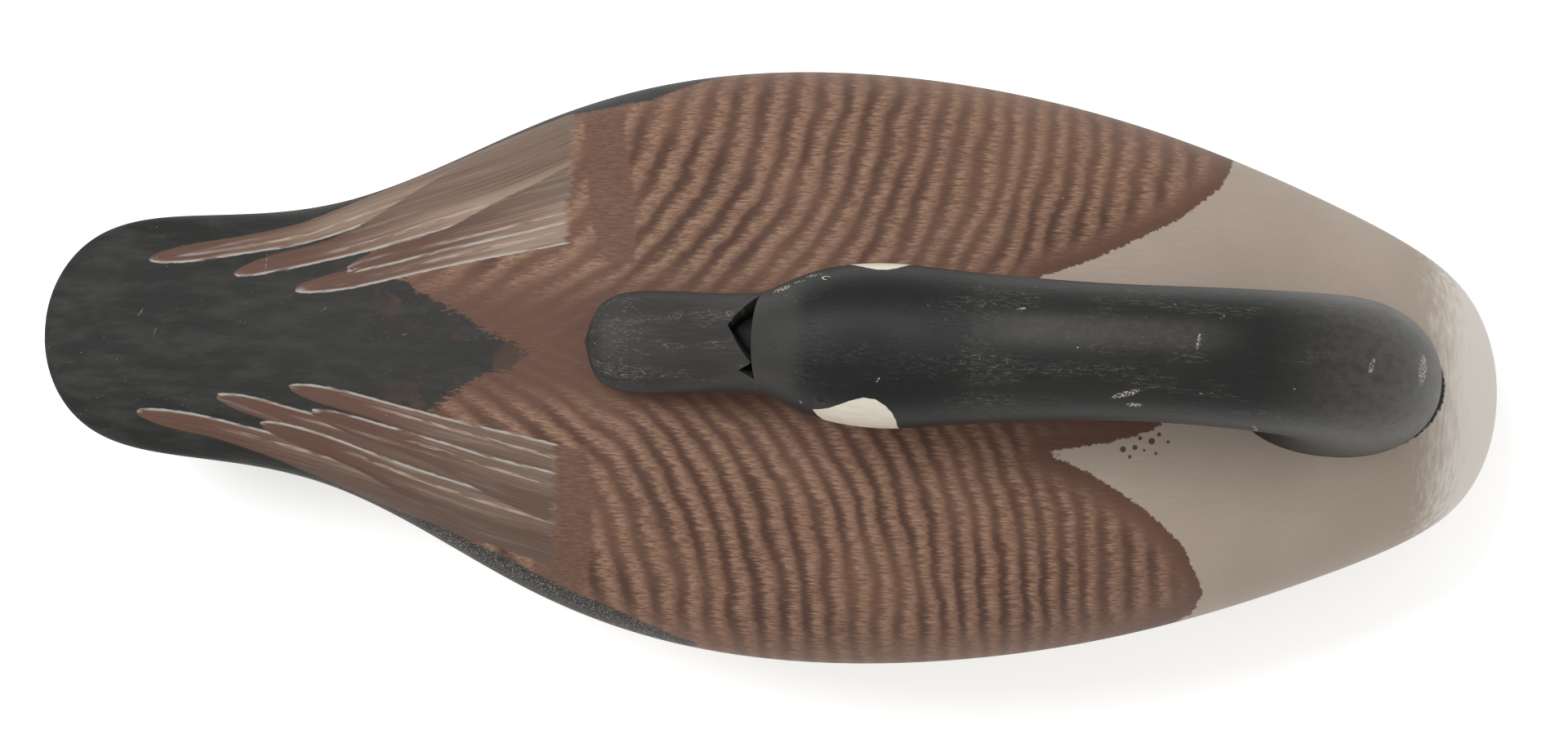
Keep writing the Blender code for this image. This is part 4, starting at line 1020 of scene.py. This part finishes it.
def makeBill():
    # each column starts at the notched edge, so the rear rows step in to the bottom of the notches
    columns, deep = billPlan["columns"], billPlan["deep"]
    brow, tip = float(neckLine["brow"]), neckLine["tip"]
    roll = np.arange(columns) * 2 * math.pi / columns
    notch = np.zeros(columns)
    for middle, length, halfSpan in billPlan["notches"]:
        notch = np.maximum(notch, length * (1 - np.abs(np.degrees(roll) - middle) / halfSpan))
    fineCount = 400
    fine = np.linspace(brow, tip, fineCount)
    start = np.interp(pathLength(brow) + notch, pathLength(fine), fine)
    # closer rows where the tip rounds off
    share = 1 - (1 - np.linspace(0, 1, billPlan["rows"]) ** .9) ** 1.35
    station = start[None] + (tip - start[None]) * share[:, None]
    radius, length = billPlan["tenon"]
    rear = roundEnd(brow, roll, radius, -length)
    # a column with no notch has its outer edge on the brow, so its floor row is lifted onto that edge
    atBrow = np.full(columns, brow)
    floorAtEdge = np.where((notch <= 0)[:, None], neckSection(atBrow, roll), neckSection(start, roll, deep))
    grid = np.concatenate([rear, [neckSection(atBrow, roll, deep), floorAtEdge],
                           neckSection(station, roll[None])])
    stationAll = np.concatenate([np.full((4, columns), brow), start[None], station])
    inNotch = np.concatenate([np.ones((4, columns)), [notch > 0], np.zeros(station.shape)])
    strand = strandField(stationAll, roll[None])
    strand[..., 0] -= pathLength(brow)
    return meshFromGrid("paintedBill", grid, {"strand": strand, "notch": inNotch})


makePiece("paintedBill", makeBill(), billPaint(), "decoy", "bill_paint", "bill")

print("line tie: staple and ring")
tie = {
    "x": 262, "halfSpan": 6, "wire": 1.5, "drop": 2, "leg": 18, "play": .4,
    "ring": 11,  # the radius of the ring's middle line
    "legSteps": 12, "bowSteps": 40, "aroundStaple": 20, "ringSteps": 72, "aroundRing": 24,
}
mouth = float(belly(tie["x"]))
crown = mouth - tie["drop"]
legTop = mouth + tie["leg"]
path = [(tie["x"], tie["halfSpan"], legTop)]
path += [(tie["x"], tie["halfSpan"], z) for z in np.linspace(legTop - 1, crown + .3, tie["legSteps"])]
path += [(tie["x"], tie["halfSpan"] * math.cos(a), crown - tie["halfSpan"] * math.sin(a))
         for a in np.linspace(0, math.pi, tie["bowSteps"])]
path += [(x, -y, z) for x, y, z in path[tie["legSteps"]::-1]]
staple = tube(path, tie["wire"], tie["aroundStaple"])
capStart, capEnd = (row.mean(1, keepdims=True) + 0 * row for row in (staple[:1], staple[-1:]))
staple = np.concatenate([capStart, staple, capEnd])
brass = oldMetal("tieBrass", srgb(176, 140, 78), srgb(92, 72, 46), .32, 1.0)
makePiece("tieStaple", meshFromGrid("tieStaple", staple), brass, "decoy", "tie_brass", "line_staple")

# the ring hangs in the staple's bow and leans down until it lies on the floor
pivotZ = crown - tie["halfSpan"] + 2 * tie["wire"] + tie["play"]
lean = math.asin((pivotZ - tie["wire"] - tie["play"]) / (2 * tie["ring"]))
turn = np.arange(tie["ringSteps"]) * 2 * math.pi / tie["ringSteps"]
reachOut = tie["ring"] * (1 - np.cos(turn))
path = np.stack([tie["x"] + tie["ring"] * np.sin(turn), reachOut * math.cos(lean),
                 pivotZ - reachOut * math.sin(lean)], -1)
ring = tube(path, tie["wire"], tie["aroundRing"], closed=True)
ring = np.concatenate([ring, ring[:1]])
makePiece("tieRing", meshFromGrid("tieRing", ring), brass, "tie_ring", "tie_brass", "line_ring")

print("carried-over pieces: finishes only")
dowelWood = plainWood("dowelWood", srgb(196, 160, 112), srgb(160, 122, 78))
lead = oldMetal("leadPlate", srgb(112, 114, 118), srgb(78, 78, 80), .55, .7)
screwBrass = oldMetal("screwBrass", srgb(186, 150, 84), srgb(104, 82, 50), .3, 1.0)
steel = oldMetal("lagSteel", srgb(150, 150, 150), srgb(96, 92, 88), .35, 1.0)


def eyeTop(node):
    # an eye's middle from above, a little to the bird's left, where its painted reflection ring lies
    low, high = (Vector(corner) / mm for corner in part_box(node))
    return (low.x + high.x) / 2, (low.y + high.y) / 2 + 1


finishes = {"dowel": dowelWood, "bill_pin": dowelWood, "ballast_weight": lead, "ballast_screw": screwBrass,
            "neck_lag": steel, "neck_washer": steel, "eye_putty": puttyPaint(),
            "eye_left": eyeGlass("eyeLeft", eyeTop("eye_left")), "eye_right": eyeGlass("eyeRight")}
for name, node in frame["nodes"].items():
    for part, material in finishes.items():
        if part in name:
            for slot in node.material_slots:
                slot.material = material

print("stage: floor, lights and camera")
stage = {
    "floor": srgb(246, 246, 245), "floorReach": 12, "lift": .36,  # the lift lets the shadow fade out
    "target": (4.03, -5.15, 90), "distance": 1900, "elevation": 84.68, "azimuth": -1.99, "roll": .62,
    "lens": 100.38, "clipEnd": 100,
    "world": .74,
    # (position, size, watts): softboxes, all pointing at the body's middle
    "lamps": (((-1.5, .45, 2.0), .9, 21), ((-.5, .85, 2.2), .55, 8)),
}
floorMesh = bpy.data.meshes.new("floor")
reach = stage["floorReach"]
floorMesh.from_pydata([(-reach, -reach, 0), (reach, -reach, 0), (reach, reach, 0), (-reach, reach, 0)],
                      [], [(0, 1, 2, 3)])
floor = bpy.data.objects.new("floor", floorMesh)
bpy.context.scene.collection.objects.link(floor)
g = Graph("paleFloor")
rays = g.node("LightPath")
bounced = g.math("MAXIMUM", rays.outputs["Is Glossy Ray"], rays.outputs["Is Transmission Ray"])
seen = g.math("MAXIMUM", rays.outputs["Is Camera Ray"], bounced)
g.shader.inputs["Emission Color"].default_value = (1, 1, 1, 1)
g.feed(g.shader.inputs["Emission Strength"], g.times(seen, stage["lift"]))
floorMesh.materials.append(g.finish(stage["floor"], .9, specular=.1))

world = bpy.data.worlds.new("studio")
bpy.context.scene.world = world
world.use_nodes = True
nodes, links = world.node_tree.nodes, world.node_tree.links
rays, lift = nodes.new("ShaderNodeLightPath"), nodes.new("ShaderNodeMapRange")
links.new(rays.outputs["Is Camera Ray"], lift.inputs[0])
lift.inputs[3].default_value = stage["world"]
lift.inputs[4].default_value = 1
links.new(lift.outputs[0], nodes["Background"].inputs["Strength"])
nodes["Background"].inputs["Color"].default_value = (1, 1, 1, 1)

middle = Vector(((cadBox[0][i] + cadBox[1][i]) / 2 for i in range(3)))
for n, (position, size, watts) in enumerate(stage["lamps"]):
    light = bpy.data.lights.new(f"softbox{n}", "AREA")
    light.shape, light.size, light.energy = "DISK", size, watts
    lamp = bpy.data.objects.new(f"softbox{n}", light)
    lamp.location = position
    lamp.rotation_euler = (middle - Vector(position)).to_track_quat("-Z", "Y").to_euler()
    bpy.context.scene.collection.objects.link(lamp)

elevation, azimuth, rollTurn = (math.radians(stage[key]) for key in ("elevation", "azimuth", "roll"))
level = math.cos(elevation)
look = Vector((math.sin(azimuth) * level, math.cos(azimuth) * level, -math.sin(elevation)))
right = Vector((math.cos(azimuth), -math.sin(azimuth), 0))
up = right.cross(look)
c, s = math.cos(rollTurn), math.sin(rollTurn)
right, up = right * c + up * s, up * c - right * s
position = Vector(stage["target"]) * mm - look * stage["distance"] * mm
camera = bpy.data.objects.new("camera", bpy.data.cameras.new("camera"))
camera.data.lens = stage["lens"]
camera.data.clip_end = stage["clipEnd"]
camera.matrix_world = Matrix.Translation(position) @ Matrix((right, up, -look)).transposed().to_4x4()
bpy.context.scene.collection.objects.link(camera)
bpy.context.scene.camera = camera
bpy.context.scene.view_settings.view_transform = "Standard"

print("scene set up")
